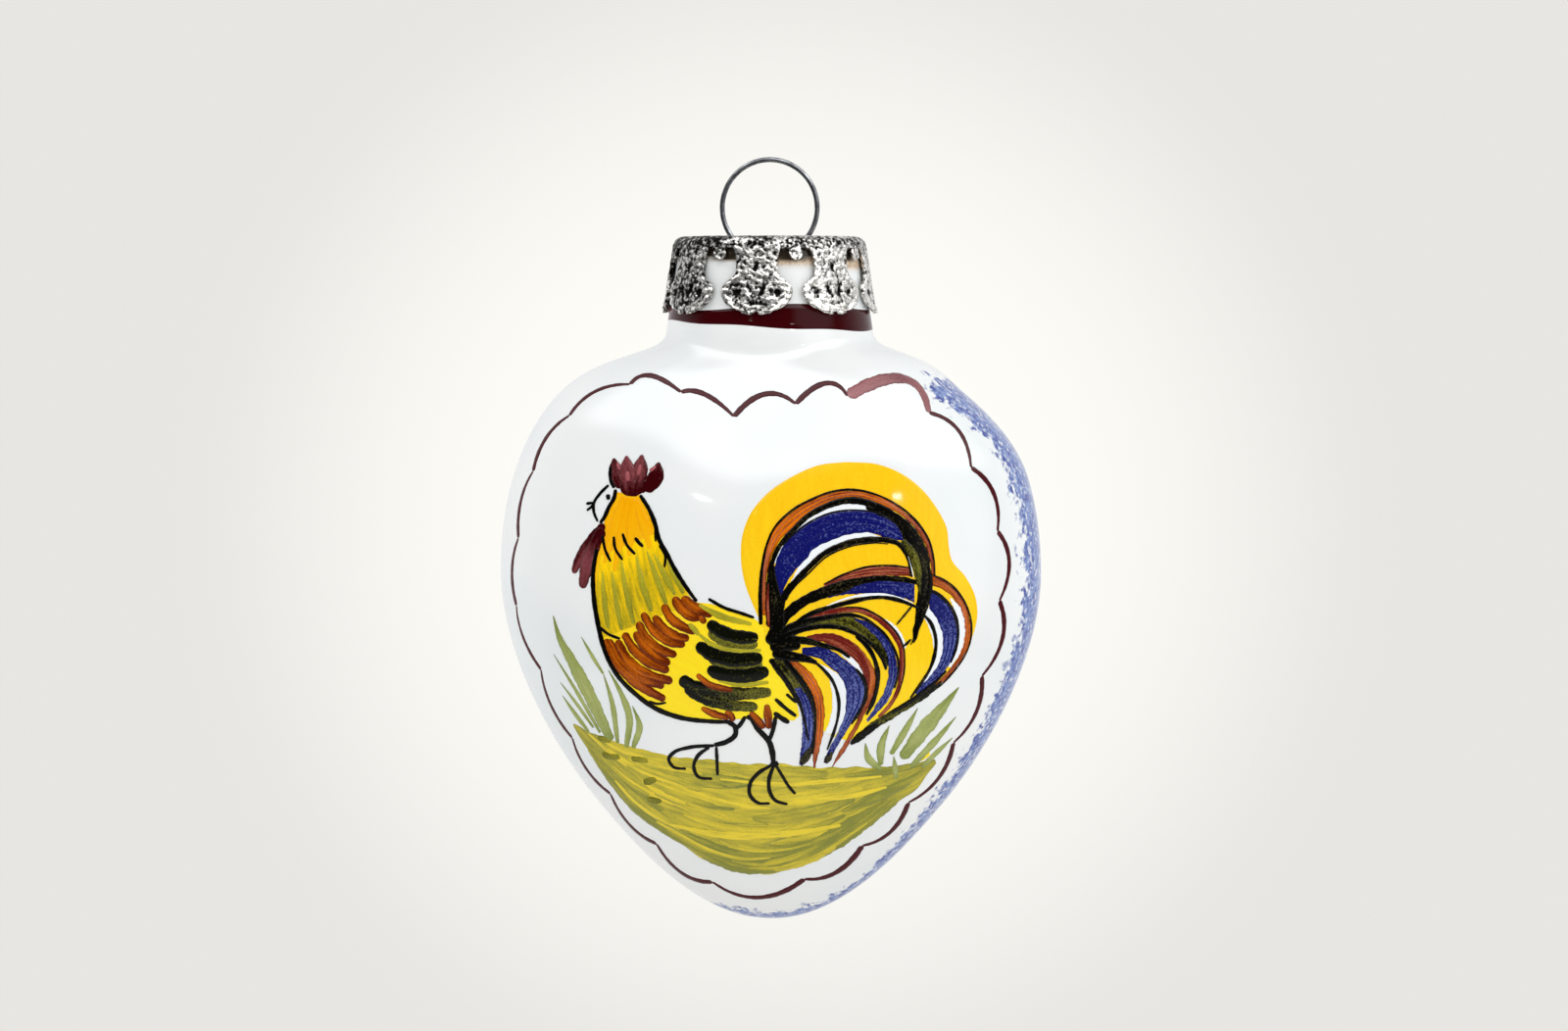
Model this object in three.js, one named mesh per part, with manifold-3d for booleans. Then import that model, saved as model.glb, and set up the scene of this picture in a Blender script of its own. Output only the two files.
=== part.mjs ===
// Heart-shaped faience ornament: a hollow slip-cast body with a round neck, a pierced metal cap
// that sits over the neck, and a spring-wire hanger whose legs grip the inside of the neck.
// Millimetres, +Z up. The origin is where a hook bears: the inside of the wire loop, at its top.
// The painted face looks along -Y, and the wire loop lies in the XZ plane.
import * as THREE from "three";
import { mergeVertices } from "three/addons/utils/BufferGeometryUtils.js";
import Module from "manifold-3d";

const wasm = await Module();
wasm.setup();
const { lerp, smoothstep } = THREE.MathUtils;

// Wire hanger
const WIRE_DIAMETER = 0.6;
const LOOP_DIAMETER = 11.2; // of the wire's centreline
const LOOP_CENTRE_ABOVE_CAP = 3.4;
const LEG_BEND_DROP = 1.0; // from the cap's top face to where the leg runs straight down
const LEG_STRAIGHT = 3.5;
const LEG_FLARE_DROP = 5.0; // the leg spreads to the neck's bore over this height
const LEG_GRIP = 4.0; // straight stretch along the bore
const LEG_TIP_DROP = 2.0;
const LEG_TIP_CURL = 0.8; // how far the tip turns back in from the bore
const LEG_STEP_IN = 0.35; // the straight stretch stands this much inside the loop's foot
const LEG_CLEARANCE = 0.3; // between the wire and the bore

// Faience neck
const NECK_RIM_RADIUS = 10.5;
const NECK_ROOT_RADIUS = 12.1;
const NECK_HEIGHT = 10.1;
const NECK_RIM_WALL = 2.5;
const RIM_ROUND = 1.1;

// Faience body: half-widths, half-depths and drops below the neck's root at the loft's stations
const WALL = 2.6;
const SHOULDER_HALF_WIDTH = 19.5;
const SHOULDER_HALF_DEPTH = 14.2;
const SHOULDER_DROP = 4.1;
const BELLY_HALF_WIDTH = 32;
const BELLY_HALF_DEPTH = 19.3;
const BELLY_DROP = 28.7;
const FLANK_HALF_WIDTH = 21;
const FLANK_HALF_DEPTH = 13.4;
const FLANK_DROP = 55.4;
const TIP_DROP = 70.2;
// Out, forward and up: how the wall runs through a station, and how hard it pulls on the curve
const NECK_RUN = [0, 0, -2.2];
const SHOULDER_RUN = [4.5, 1.6, -1.9];
const BELLY_RUN = [0, 0, -9];
const FLANK_RUN = [-5.6, -3.2, -7];
const TIP_RUN = [-8.2, -5.6, 0];
const PULL_BELOW_SHOULDER = 1.55; // in runs, the rest of the curves pull by one run
const PULL_ABOVE_BELLY = 1.5;
const BELLY_SQUARENESS = 2.25; // superellipse exponent of the body's sections, 2 is an ellipse
const CLEFT_DEPTH = 0.13; // share of the half-depth that the heart's notch takes at its deepest
const CLEFT_DROP = 6.5; // of the notch's deepest point
const CLEFT_SPREAD = 8.5; // how far up and down it fades
const CLEFT_HALF_WIDTH = 9.5;

// Cap
const SHEET = 0.4;
const CAP_SEAT_GAP = 0.3; // between the cap's inner face and the neck's rim
const SKIRT_GAP = 0.35; // between the skirt and the neck, measured level
const CAP_SHOULDER = 1.3; // outside radius where the crown turns down into the skirt
const CAP_HEIGHT = 8.5;
const TAB_COUNT = 8;
const PIERCING_TOP = 1.3; // drop of the piercings' arched tops below the cap's top face
const COLUMN_WIDTH = 4; // of a tab above its lobe
const PENDANT_LENGTH = 1.4; // of the drop that hangs in each piercing
const PENDANT_WIDTH = 1.6;
const LOBE_HEIGHT = 4.6; // from the tab's lower edge to the foot of its column
const LOBE_RISE = 2.3; // from the lower edge to where the lobe is widest
const LOBE_GAP = 1.2; // between two neighbouring lobes
const LOBE_FOOT = 2; // width of the lobe's flat lower edge
const WIRE_HOLE_CLEARANCE = 0.65; // all round the wire, so that it can slide

// A quarter of an ellipse as one Bezier curve pulls its two inner points this share of the way.
const ROUND = 0.55;

// Facets
const BODY_SIDES = 48;
const OUTSIDE_ROWS = 8; // between two stations
const INSIDE_ROWS = 5;
const ARC_ROWS = 4; // in a quarter turn of a rim or shoulder
const CAP_SIDES = 64;
const PIERCING_STEPS = 4;
const HOLE_SIDES = 16;
const WIRE_SIDES = 8;
const WIRE_STEPS = 80;

// Heights that follow from the sizes above
const wireRadius = WIRE_DIAMETER / 2;
const loopRadius = LOOP_DIAMETER / 2;
const loopCentreZ = wireRadius - loopRadius;
const capTopZ = loopCentreZ - LOOP_CENTRE_ABOVE_CAP;
const rimZ = capTopZ - SHEET - CAP_SEAT_GAP;
const neckRootZ = rimZ - NECK_HEIGHT;
const neckSlope = (NECK_ROOT_RADIUS - NECK_RIM_RADIUS) / NECK_HEIGHT;
const neckLean = Math.atan(neckSlope);
const boreRadius = NECK_RIM_RADIUS - NECK_RIM_WALL;
const rimRound = Math.min(RIM_ROUND, NECK_RIM_WALL * 0.45);
const loopFootX = Math.sqrt(loopRadius ** 2 - LOOP_CENTRE_ABOVE_CAP ** 2);

// The neck's outside radius at a height: a slow cone from the rim down to the root.
function neckRadius(z) {
  return NECK_RIM_RADIUS + (rimZ - z) * neckSlope;
}

// A closed mesh with only its positions, as a solid for joining and cutting.
function toSolid(geometry) {
  const bare = geometry.clone();
  bare.deleteAttribute("normal");
  bare.deleteAttribute("uv");
  const merged = mergeVertices(bare, 1e-4);
  return new wasm.Manifold(
    new wasm.Mesh({
      numProp: 3,
      vertProperties: merged.attributes.position.array,
      triVerts: new Uint32Array(merged.index.array),
    }),
  );
}

function toGeometry(solid) {
  const mesh = solid.getMesh();
  const geometry = new THREE.BufferGeometry();
  geometry.setAttribute("position", new THREE.BufferAttribute(mesh.vertProperties, 3));
  geometry.setIndex(new THREE.BufferAttribute(mesh.triVerts, 1));
  geometry.computeVertexNormals();
  return geometry;
}

// Faience body

// A station of the loft: half-width, half-depth and height, with the direction that the wall runs there.
function station(halfWidth, halfDepth, drop, run) {
  return {
    at: new THREE.Vector3(halfWidth, halfDepth, neckRootZ - drop),
    run: new THREE.Vector3(...run),
  };
}

// The wall between two stations, leaving one along its run and meeting the other along its own.
function wallCurve(from, leave, to, meet) {
  return new THREE.CubicBezierCurve3(
    from.at,
    from.at.clone().addScaledVector(from.run, leave),
    to.at.clone().addScaledVector(to.run, -meet),
    to.at,
  );
}

const neckRoot = station(NECK_ROOT_RADIUS, NECK_ROOT_RADIUS, 0, NECK_RUN);
const shoulder = station(SHOULDER_HALF_WIDTH, SHOULDER_HALF_DEPTH, SHOULDER_DROP, SHOULDER_RUN);
const belly = station(BELLY_HALF_WIDTH, BELLY_HALF_DEPTH, BELLY_DROP, BELLY_RUN);
const flank = station(FLANK_HALF_WIDTH, FLANK_HALF_DEPTH, FLANK_DROP, FLANK_RUN);
const tip = station(0, 0, TIP_DROP, TIP_RUN);
const rootToShoulder = wallCurve(neckRoot, 1, shoulder, 1);
const shoulderToBelly = wallCurve(shoulder, PULL_BELOW_SHOULDER, belly, PULL_ABOVE_BELLY);
const bellyToFlank = wallCurve(belly, 1, flank, 1);
const flankToTip = wallCurve(flank, 1, tip, 1);

// How far a section at this height has left the neck's circle for the body's superellipse, 0 to 1.
function bodyShare(z) {
  return smoothstep(neckRootZ - z, 0, BELLY_DROP / 2);
}

// The heart's notch: the front and back draw in at the middle, just below the neck.
function cleftShare(x, z) {
  const fall = (neckRootZ - z - CLEFT_DROP) / CLEFT_SPREAD;
  const across = x / CLEFT_HALF_WIDTH;
  const fade = smoothstep(neckRootZ - z, 0, CLEFT_DROP / 2);
  return CLEFT_DEPTH * fade * Math.exp(-fall * fall - across * across);
}

// One point of a section whose half-width, half-depth and height are in rail, at an angle round it.
function sectionPoint(rail, angle) {
  const power = 2 / lerp(2, BELLY_SQUARENESS, bodyShare(rail.z));
  const c = Math.cos(angle);
  const s = Math.sin(angle);
  const x = rail.x * Math.sign(c) * Math.abs(c) ** power;
  const y = rail.y * Math.sign(s) * Math.abs(s) ** power;
  return new THREE.Vector3(x, y * (1 - cleftShare(x, rail.z)), rail.z);
}

// The point on the inside of the wall, square in from the outside one.
function innerPoint(curve, t, angle, wall) {
  const small = 1e-3;
  const here = sectionPoint(curve.getPoint(t), angle);
  const round = sectionPoint(curve.getPoint(t), angle + small).sub(
    sectionPoint(curve.getPoint(t), angle - small),
  );
  const along = sectionPoint(curve.getPoint(Math.min(t + small, 1)), angle).sub(
    sectionPoint(curve.getPoint(Math.max(t - small, 0)), angle),
  );
  const outward = along.cross(round).normalize();
  return here.addScaledVector(outward, -wall);
}

function anglesRound(count) {
  return Array.from({ length: count }, (_, i) => (2 * Math.PI * i) / count);
}

// A closed skin over rings of equal length, with a single point at each end.
function skin(firstPole, rings, lastPole) {
  const sides = rings[0].length;
  const points = [firstPole, ...rings.flat(), lastPole];
  const last = points.length - 1;
  const index = [];
  for (let j = 0; j < sides; j++) {
    const k = (j + 1) % sides;
    index.push(0, 1 + k, 1 + j);
    for (let i = 0; i + 1 < rings.length; i++) {
      const low = 1 + i * sides;
      const high = low + sides;
      index.push(low + j, low + k, high + k, low + j, high + k, high + j);
    }
    const top = 1 + (rings.length - 1) * sides;
    index.push(top + j, top + k, last);
  }
  const geometry = new THREE.BufferGeometry().setFromPoints(points);
  geometry.setIndex(index);
  geometry.computeVertexNormals();
  return geometry;
}

function faienceBody() {
  const angles = anglesRound(BODY_SIDES);
  const level = (radius, z) =>
    angles.map((a) => new THREE.Vector3(radius * Math.cos(a), radius * Math.sin(a), z));
  const rings = [];

  // Outside, from the tip up to the neck's root
  for (const curve of [flankToTip, bellyToFlank, shoulderToBelly, rootToShoulder])
    for (let i = 1; i <= OUTSIDE_ROWS; i++)
      rings.push(angles.map((a) => sectionPoint(curve.getPoint(1 - i / OUTSIDE_ROWS), a)));

  // Neck and rounded rim
  const rimArcZ = rimZ - rimRound;
  rings.push(level(neckRadius((neckRootZ + rimArcZ) / 2), (neckRootZ + rimArcZ) / 2));
  for (let i = 0; i <= ARC_ROWS; i++) {
    const turn = (Math.PI / 2) * (i / ARC_ROWS);
    const centre = neckRadius(rimArcZ) - rimRound;
    rings.push(level(centre + rimRound * Math.cos(turn), rimArcZ + rimRound * Math.sin(turn)));
  }
  for (let i = 0; i <= ARC_ROWS; i++) {
    const turn = (Math.PI / 2) * (i / ARC_ROWS);
    const centre = boreRadius + rimRound;
    rings.push(level(centre - rimRound * Math.sin(turn), rimArcZ + rimRound * Math.cos(turn)));
  }

  // Inside: the straight bore thins to the body's wall below the neck, and the last ring, which has
  // shrunk to a point, gives way to the pole
  const neckWall = NECK_ROOT_RADIUS - boreRadius;
  rings.push(level(boreRadius, neckRootZ));
  for (const curve of [rootToShoulder, shoulderToBelly, bellyToFlank, flankToTip])
    for (let i = 1; i <= INSIDE_ROWS; i++) {
      const t = i / INSIDE_ROWS;
      const wall = curve === rootToShoulder ? lerp(neckWall, WALL, smoothstep(t, 0, 1)) : WALL;
      rings.push(angles.map((a) => innerPoint(curve, t, a, wall)));
    }
  rings.pop();

  const innerTip = tip.at.clone().add(new THREE.Vector3(0, 0, WALL));
  return skin(tip.at, rings, innerTip);
}

// Cap

// The outline of one piercing, the gap between two tabs: drawn as its right half, from below the
// skirt up to the tip of the pendant, in lines and Bezier curves, and then mirrored.
function piercing() {
  const edge = capTopZ - CAP_HEIGHT;
  const below = edge - SHEET * 2;
  const widest = edge + LOBE_RISE;
  const columnFoot = edge + LOBE_HEIGHT;
  const top = capTopZ - PIERCING_TOP;
  const pendantTip = top - PENDANT_LENGTH;
  const pendant = PENDANT_WIDTH / 2;
  const halfPitch = (z) => neckRadius(z) * Math.sin(Math.PI / TAB_COUNT);
  const corner = halfPitch(edge) - LOBE_FOOT / 2;
  const gap = LOBE_GAP / 2;
  const column = halfPitch(columnFoot) - COLUMN_WIDTH / 2;
  const arch = (column + pendant) / 2;
  const swell = (widest + columnFoot) / 2;
  const half = [
    [[corner, below]],
    [[corner, edge]],
    [[lerp(corner, gap, ROUND), edge], [gap, lerp(widest, edge, ROUND)], [gap, widest]],
    [[gap, swell], [column, swell], [column, columnFoot]],
    [[column, lerp(columnFoot, top, ROUND)], [lerp(arch, column, ROUND), top], [arch, top]],
    [[pendant / 2, top], [pendant / 2, top], [pendant, pendantTip + pendant]],
    [[pendant, pendantTip + pendant * (1 - ROUND)], [pendant * ROUND, pendantTip], [0, pendantTip]],
  ];
  const shape = new THREE.Shape();
  const draw = (piece) => {
    if (piece.length === 1) shape.lineTo(...piece[0]);
    else shape.bezierCurveTo(...piece.flat());
  };
  shape.moveTo(...half[0][0]);
  half.slice(1).forEach(draw);
  for (let i = half.length - 1; i > 0; i--) {
    const back = [...half[i].slice(0, -1).reverse(), half[i - 1].at(-1)];
    draw(back.map(([u, z]) => [-u, z]));
  }
  return shape;
}

// The pressed cup before piercing: a flat crown, a rounded shoulder and a skirt that follows the neck.
function capCup() {
  const sheetLevel = SHEET / Math.cos(neckLean);
  const arcZ = capTopZ - CAP_SHOULDER;
  const skirtInside = (z) => neckRadius(z) + SKIRT_GAP;
  const arcEndZ = arcZ + CAP_SHOULDER * Math.sin(neckLean);
  const arcR = skirtInside(arcEndZ) + sheetLevel - CAP_SHOULDER * Math.cos(neckLean);
  const edgeZ = capTopZ - CAP_HEIGHT;
  const middleZ = (arcZ + edgeZ) / 2;
  const shoulderArc = (radius) =>
    Array.from({ length: ARC_ROWS + 1 }, (_, i) => {
      const turn = lerp(Math.PI / 2, neckLean, i / ARC_ROWS);
      return new THREE.Vector2(arcR + radius * Math.cos(turn), arcZ + radius * Math.sin(turn));
    });
  const outer = [
    new THREE.Vector2(0, capTopZ),
    ...shoulderArc(CAP_SHOULDER),
    new THREE.Vector2(skirtInside(middleZ) + sheetLevel, middleZ),
    new THREE.Vector2(skirtInside(edgeZ) + sheetLevel, edgeZ),
  ];
  const inner = [
    new THREE.Vector2(0, capTopZ - SHEET),
    ...shoulderArc(CAP_SHOULDER - SHEET),
    new THREE.Vector2(skirtInside(middleZ), middleZ),
    new THREE.Vector2(skirtInside(edgeZ), edgeZ),
  ];
  const turned = new THREE.LatheGeometry([...inner, ...outer.reverse()], CAP_SIDES);
  return turned.rotateX(Math.PI / 2);
}

function filigreeCap() {
  let cap = toSolid(capCup());
  const reach = neckRadius(capTopZ - CAP_HEIGHT) * 2;
  const punch = new THREE.ExtrudeGeometry(piercing(), {
    depth: reach,
    bevelEnabled: false,
    curveSegments: PIERCING_STEPS,
  });
  punch.rotateX(Math.PI / 2);
  for (let i = 0; i < TAB_COUNT; i++) {
    const turn = (2 * Math.PI * (i + 0.5)) / TAB_COUNT;
    cap = cap.subtract(toSolid(punch.clone().rotateZ(turn)));
  }
  const holeRadius = wireRadius + WIRE_HOLE_CLEARANCE;
  const hole = new THREE.CylinderGeometry(holeRadius, holeRadius, SHEET * 4, HOLE_SIDES);
  hole.rotateX(Math.PI / 2);
  for (const side of [-1, 1])
    cap = cap.subtract(toSolid(hole.clone().translate(side * loopFootX, 0, capTopZ)));
  return toGeometry(cap);
}

// Wire hanger

// The round loop, from the right-hand leg over the top to the left-hand leg.
class LoopArc extends THREE.Curve {
  constructor() {
    super();
    this.open = Math.acos(LOOP_CENTRE_ABOVE_CAP / loopRadius);
  }
  getPoint(t, target = new THREE.Vector3()) {
    const turn = lerp(-Math.PI / 2 + this.open, (3 * Math.PI) / 2 - this.open, t);
    return target.set(loopRadius * Math.cos(turn), 0, loopCentreZ + loopRadius * Math.sin(turn));
  }
}

// One leg from its tip up to the loop, on the side given by 1 or -1.
function legCurves(side, loopEnd, loopRun) {
  const gripX = boreRadius - LEG_CLEARANCE - wireRadius;
  const straightX = loopFootX - LEG_STEP_IN;
  const straightTop = capTopZ - LEG_BEND_DROP;
  const straightFoot = straightTop - LEG_STRAIGHT;
  const gripTop = straightFoot - LEG_FLARE_DROP;
  const gripFoot = gripTop - LEG_GRIP;
  const at = (x, z) => new THREE.Vector3(side * x, 0, z);
  return [
    new THREE.CubicBezierCurve3(
      at(gripX - LEG_TIP_CURL, gripFoot - LEG_TIP_DROP),
      at(gripX - LEG_TIP_CURL / 3, gripFoot - (LEG_TIP_DROP * 2) / 3),
      at(gripX, gripFoot - LEG_TIP_DROP / 3),
      at(gripX, gripFoot),
    ),
    new THREE.LineCurve3(at(gripX, gripFoot), at(gripX, gripTop)),
    new THREE.CubicBezierCurve3(
      at(gripX, gripTop),
      at(gripX, gripTop + LEG_FLARE_DROP / 2),
      at(straightX, straightFoot - LEG_FLARE_DROP / 2),
      at(straightX, straightFoot),
    ),
    new THREE.LineCurve3(at(straightX, straightFoot), at(straightX, straightTop)),
    new THREE.CubicBezierCurve3(
      at(straightX, straightTop),
      at(straightX, straightTop + LEG_BEND_DROP / 2),
      loopEnd.clone().addScaledVector(loopRun, -LEG_BEND_DROP / 3),
      loopEnd,
    ),
  ];
}

// The same curve run the other way.
function reversed(curve) {
  if (curve.isLineCurve3) return new THREE.LineCurve3(curve.v2, curve.v1);
  return new THREE.CubicBezierCurve3(curve.v3, curve.v2, curve.v1, curve.v0);
}

function wireHanger() {
  const loop = new LoopArc();
  const rightEnd = loop.getPoint(0);
  const leftEnd = loop.getPoint(1);
  const right = legCurves(1, rightEnd, loop.getTangent(0));
  const left = legCurves(-1, leftEnd, loop.getTangent(1).negate());
  const route = new THREE.CurvePath();
  for (const curve of right) route.add(curve);
  route.add(loop);
  for (const curve of left.toReversed()) route.add(reversed(curve));
  const section = new THREE.Shape().absarc(0, 0, wireRadius, 0, 2 * Math.PI);
  return new THREE.ExtrudeGeometry(section, {
    extrudePath: route,
    steps: WIRE_STEPS,
    curveSegments: WIRE_SIDES / 2,
  });
}

// The three pieces
function piece(name, geometry, colour, roughness, metalness) {
  const material = new THREE.MeshStandardMaterial({ color: colour, roughness, metalness });
  const mesh = new THREE.Mesh(geometry, material);
  mesh.name = name;
  return mesh;
}

const ornament = new THREE.Group();
ornament.add(
  piece("faience_body", faienceBody(), 0xeef2f4, 0.12, 0),
  piece("filigree_cap", filigreeCap(), 0x8d8a82, 0.45, 0.9),
  piece("wire_hanger", wireHanger(), 0x6d7176, 0.3, 1),
);

export default ornament;
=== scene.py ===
# %% [markdown]
# # A hanging heart of painted faience
#
# The real ornament is a hollow heart of tin-glazed earthenware, painted by hand before its last
# firing, with a pierced silver cap over its neck and a wire loop to hang it by. This lesson dresses
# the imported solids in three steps: the glazed heart, the painting as thin films of pigment on it,
# and the metal. Everything is worked out in millimetres and put into Blender in metres.

# %% Load the frame and read the driving sizes
import math

import bmesh
import bpy
import numpy as np
from mathutils import Matrix, Vector


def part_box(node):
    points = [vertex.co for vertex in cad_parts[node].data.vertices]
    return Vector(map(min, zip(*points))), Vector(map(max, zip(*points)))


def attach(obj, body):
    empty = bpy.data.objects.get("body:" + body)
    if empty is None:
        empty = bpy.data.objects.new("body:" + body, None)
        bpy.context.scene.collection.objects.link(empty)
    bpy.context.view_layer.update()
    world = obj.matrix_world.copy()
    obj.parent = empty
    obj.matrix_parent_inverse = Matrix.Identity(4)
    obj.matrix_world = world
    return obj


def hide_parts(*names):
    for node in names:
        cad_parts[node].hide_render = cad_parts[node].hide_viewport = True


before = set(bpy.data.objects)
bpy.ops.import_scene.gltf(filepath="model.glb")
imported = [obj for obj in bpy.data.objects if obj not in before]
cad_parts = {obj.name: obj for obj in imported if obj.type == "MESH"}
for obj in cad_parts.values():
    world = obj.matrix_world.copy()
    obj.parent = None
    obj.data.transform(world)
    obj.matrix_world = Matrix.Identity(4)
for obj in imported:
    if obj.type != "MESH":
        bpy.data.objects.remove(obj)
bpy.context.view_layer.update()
MM = 0.001


def node_box(name):
    """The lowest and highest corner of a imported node, in millimetres."""
    return [np.array(corner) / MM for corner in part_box(name)]


heart_low, heart_high = node_box("faience_body")
cap_low, cap_high = node_box("filigree_cap")
HALF_WIDTH = heart_high[0]
HALF_DEPTH = heart_high[1]
RIM_Z = heart_high[2]
TIP_Z = heart_low[2]
CAP_TOP_Z = cap_high[2]
CAP_EDGE_Z = cap_low[2]
random = np.random.default_rng(11)
print("heart", np.round(heart_high - heart_low, 2), "cap", np.round(cap_high - cap_low, 2))

# %% [markdown]
# ## The camera
#
# A product photographer stands a little to the right of the ornament and level with its cap. The
# camera comes first, because the painting is laid out on flat cards that face it. The aim, distance
# and scale were found by laying the heart's outline over the picture.

# %% The camera
AZIMUTH = math.radians(7)
ELEVATION = math.radians(5)
DISTANCE = 320
AIM = np.array([1.70, 0, -41.44])
PICTURE_WIDTH = 1600
PICTURE_SCALE = 8.635
SENSOR = 36
BACK = np.array([
    math.sin(AZIMUTH) * math.cos(ELEVATION),
    -math.cos(AZIMUTH) * math.cos(ELEVATION),
    math.sin(ELEVATION),
])
RIGHT = np.array([math.cos(AZIMUTH), math.sin(AZIMUTH), 0])
UP = np.cross(BACK, RIGHT)
EYE = AIM + DISTANCE * BACK


def add_camera():
    """A camera at EYE that looks along -BACK, with the lens that gives PICTURE_SCALE at the aim."""
    data = bpy.data.cameras.new("portrait_camera")
    data.sensor_width = SENSOR
    data.lens = PICTURE_SCALE * DISTANCE * SENSOR / PICTURE_WIDTH
    data.clip_start = 0.01
    camera = bpy.data.objects.new("portrait_camera", data)
    bpy.context.scene.collection.objects.link(camera)
    turn = np.eye(4)
    turn[:3, 0], turn[:3, 1], turn[:3, 2] = RIGHT, UP, BACK
    turn[:3, 3] = EYE * MM
    camera.matrix_world = Matrix(turn.tolist())
    bpy.context.scene.camera = camera
    return data.lens


print("lens", round(add_camera(), 2), "mm")

# %% [markdown]
# ## Meshes from arrays
#
# Every new piece below is a grid of points: a row number runs along the shape and a column number
# runs across it. numpy works the whole grid out at once, and one helper turns it into a mesh whose
# object stays at the origin.

# %% Helpers that work out grids


def smoothstep(low, high, value):
    """0 below low, 1 above high, and 3t^2 - 2t^3 between them."""
    t = np.clip((value - low) / (high - low), 0, 1)
    return t * t * (3 - 2 * t)


def xyz(x, y, z):
    """One array of points from three coordinates, which are spread over the same grid."""
    return np.stack(np.broadcast_arrays(x, y, z), -1)


def unit(vectors):
    """The same directions, each with length 1."""
    return vectors / np.linalg.norm(vectors, axis=-1, keepdims=True)


def way_along(points):
    """How far each point of a line lies from the first one, measured along the line."""
    step = np.linalg.norm(np.diff(points, axis=0), axis=1)
    return np.concatenate([[0], np.cumsum(step)])


def full_turn(count):
    """The angles of a full turn in equal parts."""
    return np.arange(count) / count * 2 * math.pi


def ring_faces(rows, columns):
    """Quads of a tube: corner (i, j) joins (i, j+1), (i+1, j+1) and (i+1, j), and j wraps round."""
    first = np.arange(rows - 1)[:, None] * columns + np.arange(columns)
    after = np.arange(rows - 1)[:, None] * columns + (np.arange(columns) + 1) % columns
    return np.stack([first, after, after + columns, first + columns], -1).reshape(-1, 4)


def sheet_faces(rows, columns):
    """Quads of an open sheet, numbered as ring_faces but with no wrap."""
    first = (np.arange(rows - 1)[:, None] * columns + np.arange(columns - 1)).ravel()
    return np.stack([first, first + 1, first + columns + 1, first + columns], -1)


def joined_faces(blocks, faces):
    """The faces of several blocks, numbered anew for the blocks' points set end to end."""
    starts = np.cumsum([0] + [len(block) for block in blocks])
    return [np.asarray(face) + start for group, start in zip(faces, starts) for face in group]


def signed_volume(points, faces):
    """Sum of the tetrahedra from the origin to each face's fan: positive when faces point outwards."""
    fans = [(face[0], face[i], face[i + 1]) for face in map(tuple, faces) for i in range(1, len(face) - 1)]
    first, second, third = points[np.array(fans)].transpose(1, 0, 2)
    return np.sum(first * np.cross(second, third)) / 6


# %% Helpers that turn grids into pieces


def add_mesh(name, points, faces, material):
    """One named mesh at the origin from points in millimetres."""
    mesh = bpy.data.meshes.new(name)
    mesh.from_pydata((np.asarray(points) * MM).tolist(), [], [tuple(face) for face in faces])
    mesh.materials.append(material)
    obj = bpy.data.objects.new(name, mesh)
    bpy.context.scene.collection.objects.link(obj)
    return obj


def add_piece(name, points, faces, material, body, smooth=True, values=None):
    """A mesh that rides on a body. values are the numbers that its finish reads at every point."""
    obj = add_mesh(name, points, faces, material)
    mesh = obj.data
    mesh.polygons.foreach_set("use_smooth", np.broadcast_to(smooth, len(mesh.polygons)).tolist())
    for label, array in (values or {}).items():
        kind = "FLOAT" if array.ndim == 1 else "FLOAT_VECTOR"
        field = "value" if array.ndim == 1 else "vector"
        mesh.attributes.new(label, kind, "POINT").data.foreach_set(field, array.ravel().tolist())
    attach(obj, body)
    return obj


# %% [markdown]
# ## The shape of the heart
#
# The heart is slip-cast, so it has one smooth skin. Its level sections are superellipses, and two
# rails, the half-width and the half-depth, run down from the neck to the tip through a few stations
# as Bezier curves. A shallow notch under the neck makes the two lobes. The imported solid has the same
# rails with few facets. Here they are followed finely, so that reflections run without breaks. A soft
# cast also leans as it dries, so one more step lets the right shoulder sink by up to 1.5 mm.

# %% The rails
NECK_ROOT_Z = RIM_Z - 10.1
NECK_RIM_RADIUS = 10.5
NECK_ROOT_RADIUS = 12.1
BORE_RADIUS = 8.0
RIM_ROUND = 1.1
WALL = 2.6
BELLY_DROP = 28.7
SQUARENESS = 2.25
CLEFT_DEPTH = 0.13
CLEFT_DROP = 6.5
CLEFT_SPREAD = 8.5
CLEFT_HALF_WIDTH = 9.5
# A station is half-width, half-depth and height, and a run is how the rail passes through it.
ROOT = np.array([NECK_ROOT_RADIUS, NECK_ROOT_RADIUS, NECK_ROOT_Z])
SHOULDER = np.array([19.5, 14.2, NECK_ROOT_Z - 4.1])
BELLY = np.array([HALF_WIDTH, HALF_DEPTH, NECK_ROOT_Z - BELLY_DROP])
FLANK = np.array([21, 13.4, NECK_ROOT_Z - 55.4])
TIP = np.array([0, 0, TIP_Z])
ROOT_RUN = np.array([0, 0, -2.2])
SHOULDER_RUN = np.array([4.5, 1.6, -1.9])
BELLY_RUN = np.array([0, 0, -9.0])
FLANK_RUN = np.array([-5.6, -3.2, -7])
TIP_RUN = np.array([-8.2, -5.6, 0])
PULL_BELOW_SHOULDER = 1.55
PULL_ABOVE_BELLY = 1.5
# The shoulders sank most at SAG_Z, and not at all above SAG_TOP_Z and below SAG_END_Z.
SAG_TOP_Z = -22.0
SAG_Z = -27.0
SAG_END_Z = -37.0
SAG_LEAN = 0.0367
SAG_BEND = 0.001
SAG_PASSES = 20
NECK_POINTS = 60
SEAM_SHARE = 0.9995
NORMAL_STEP = 0.02


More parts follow.
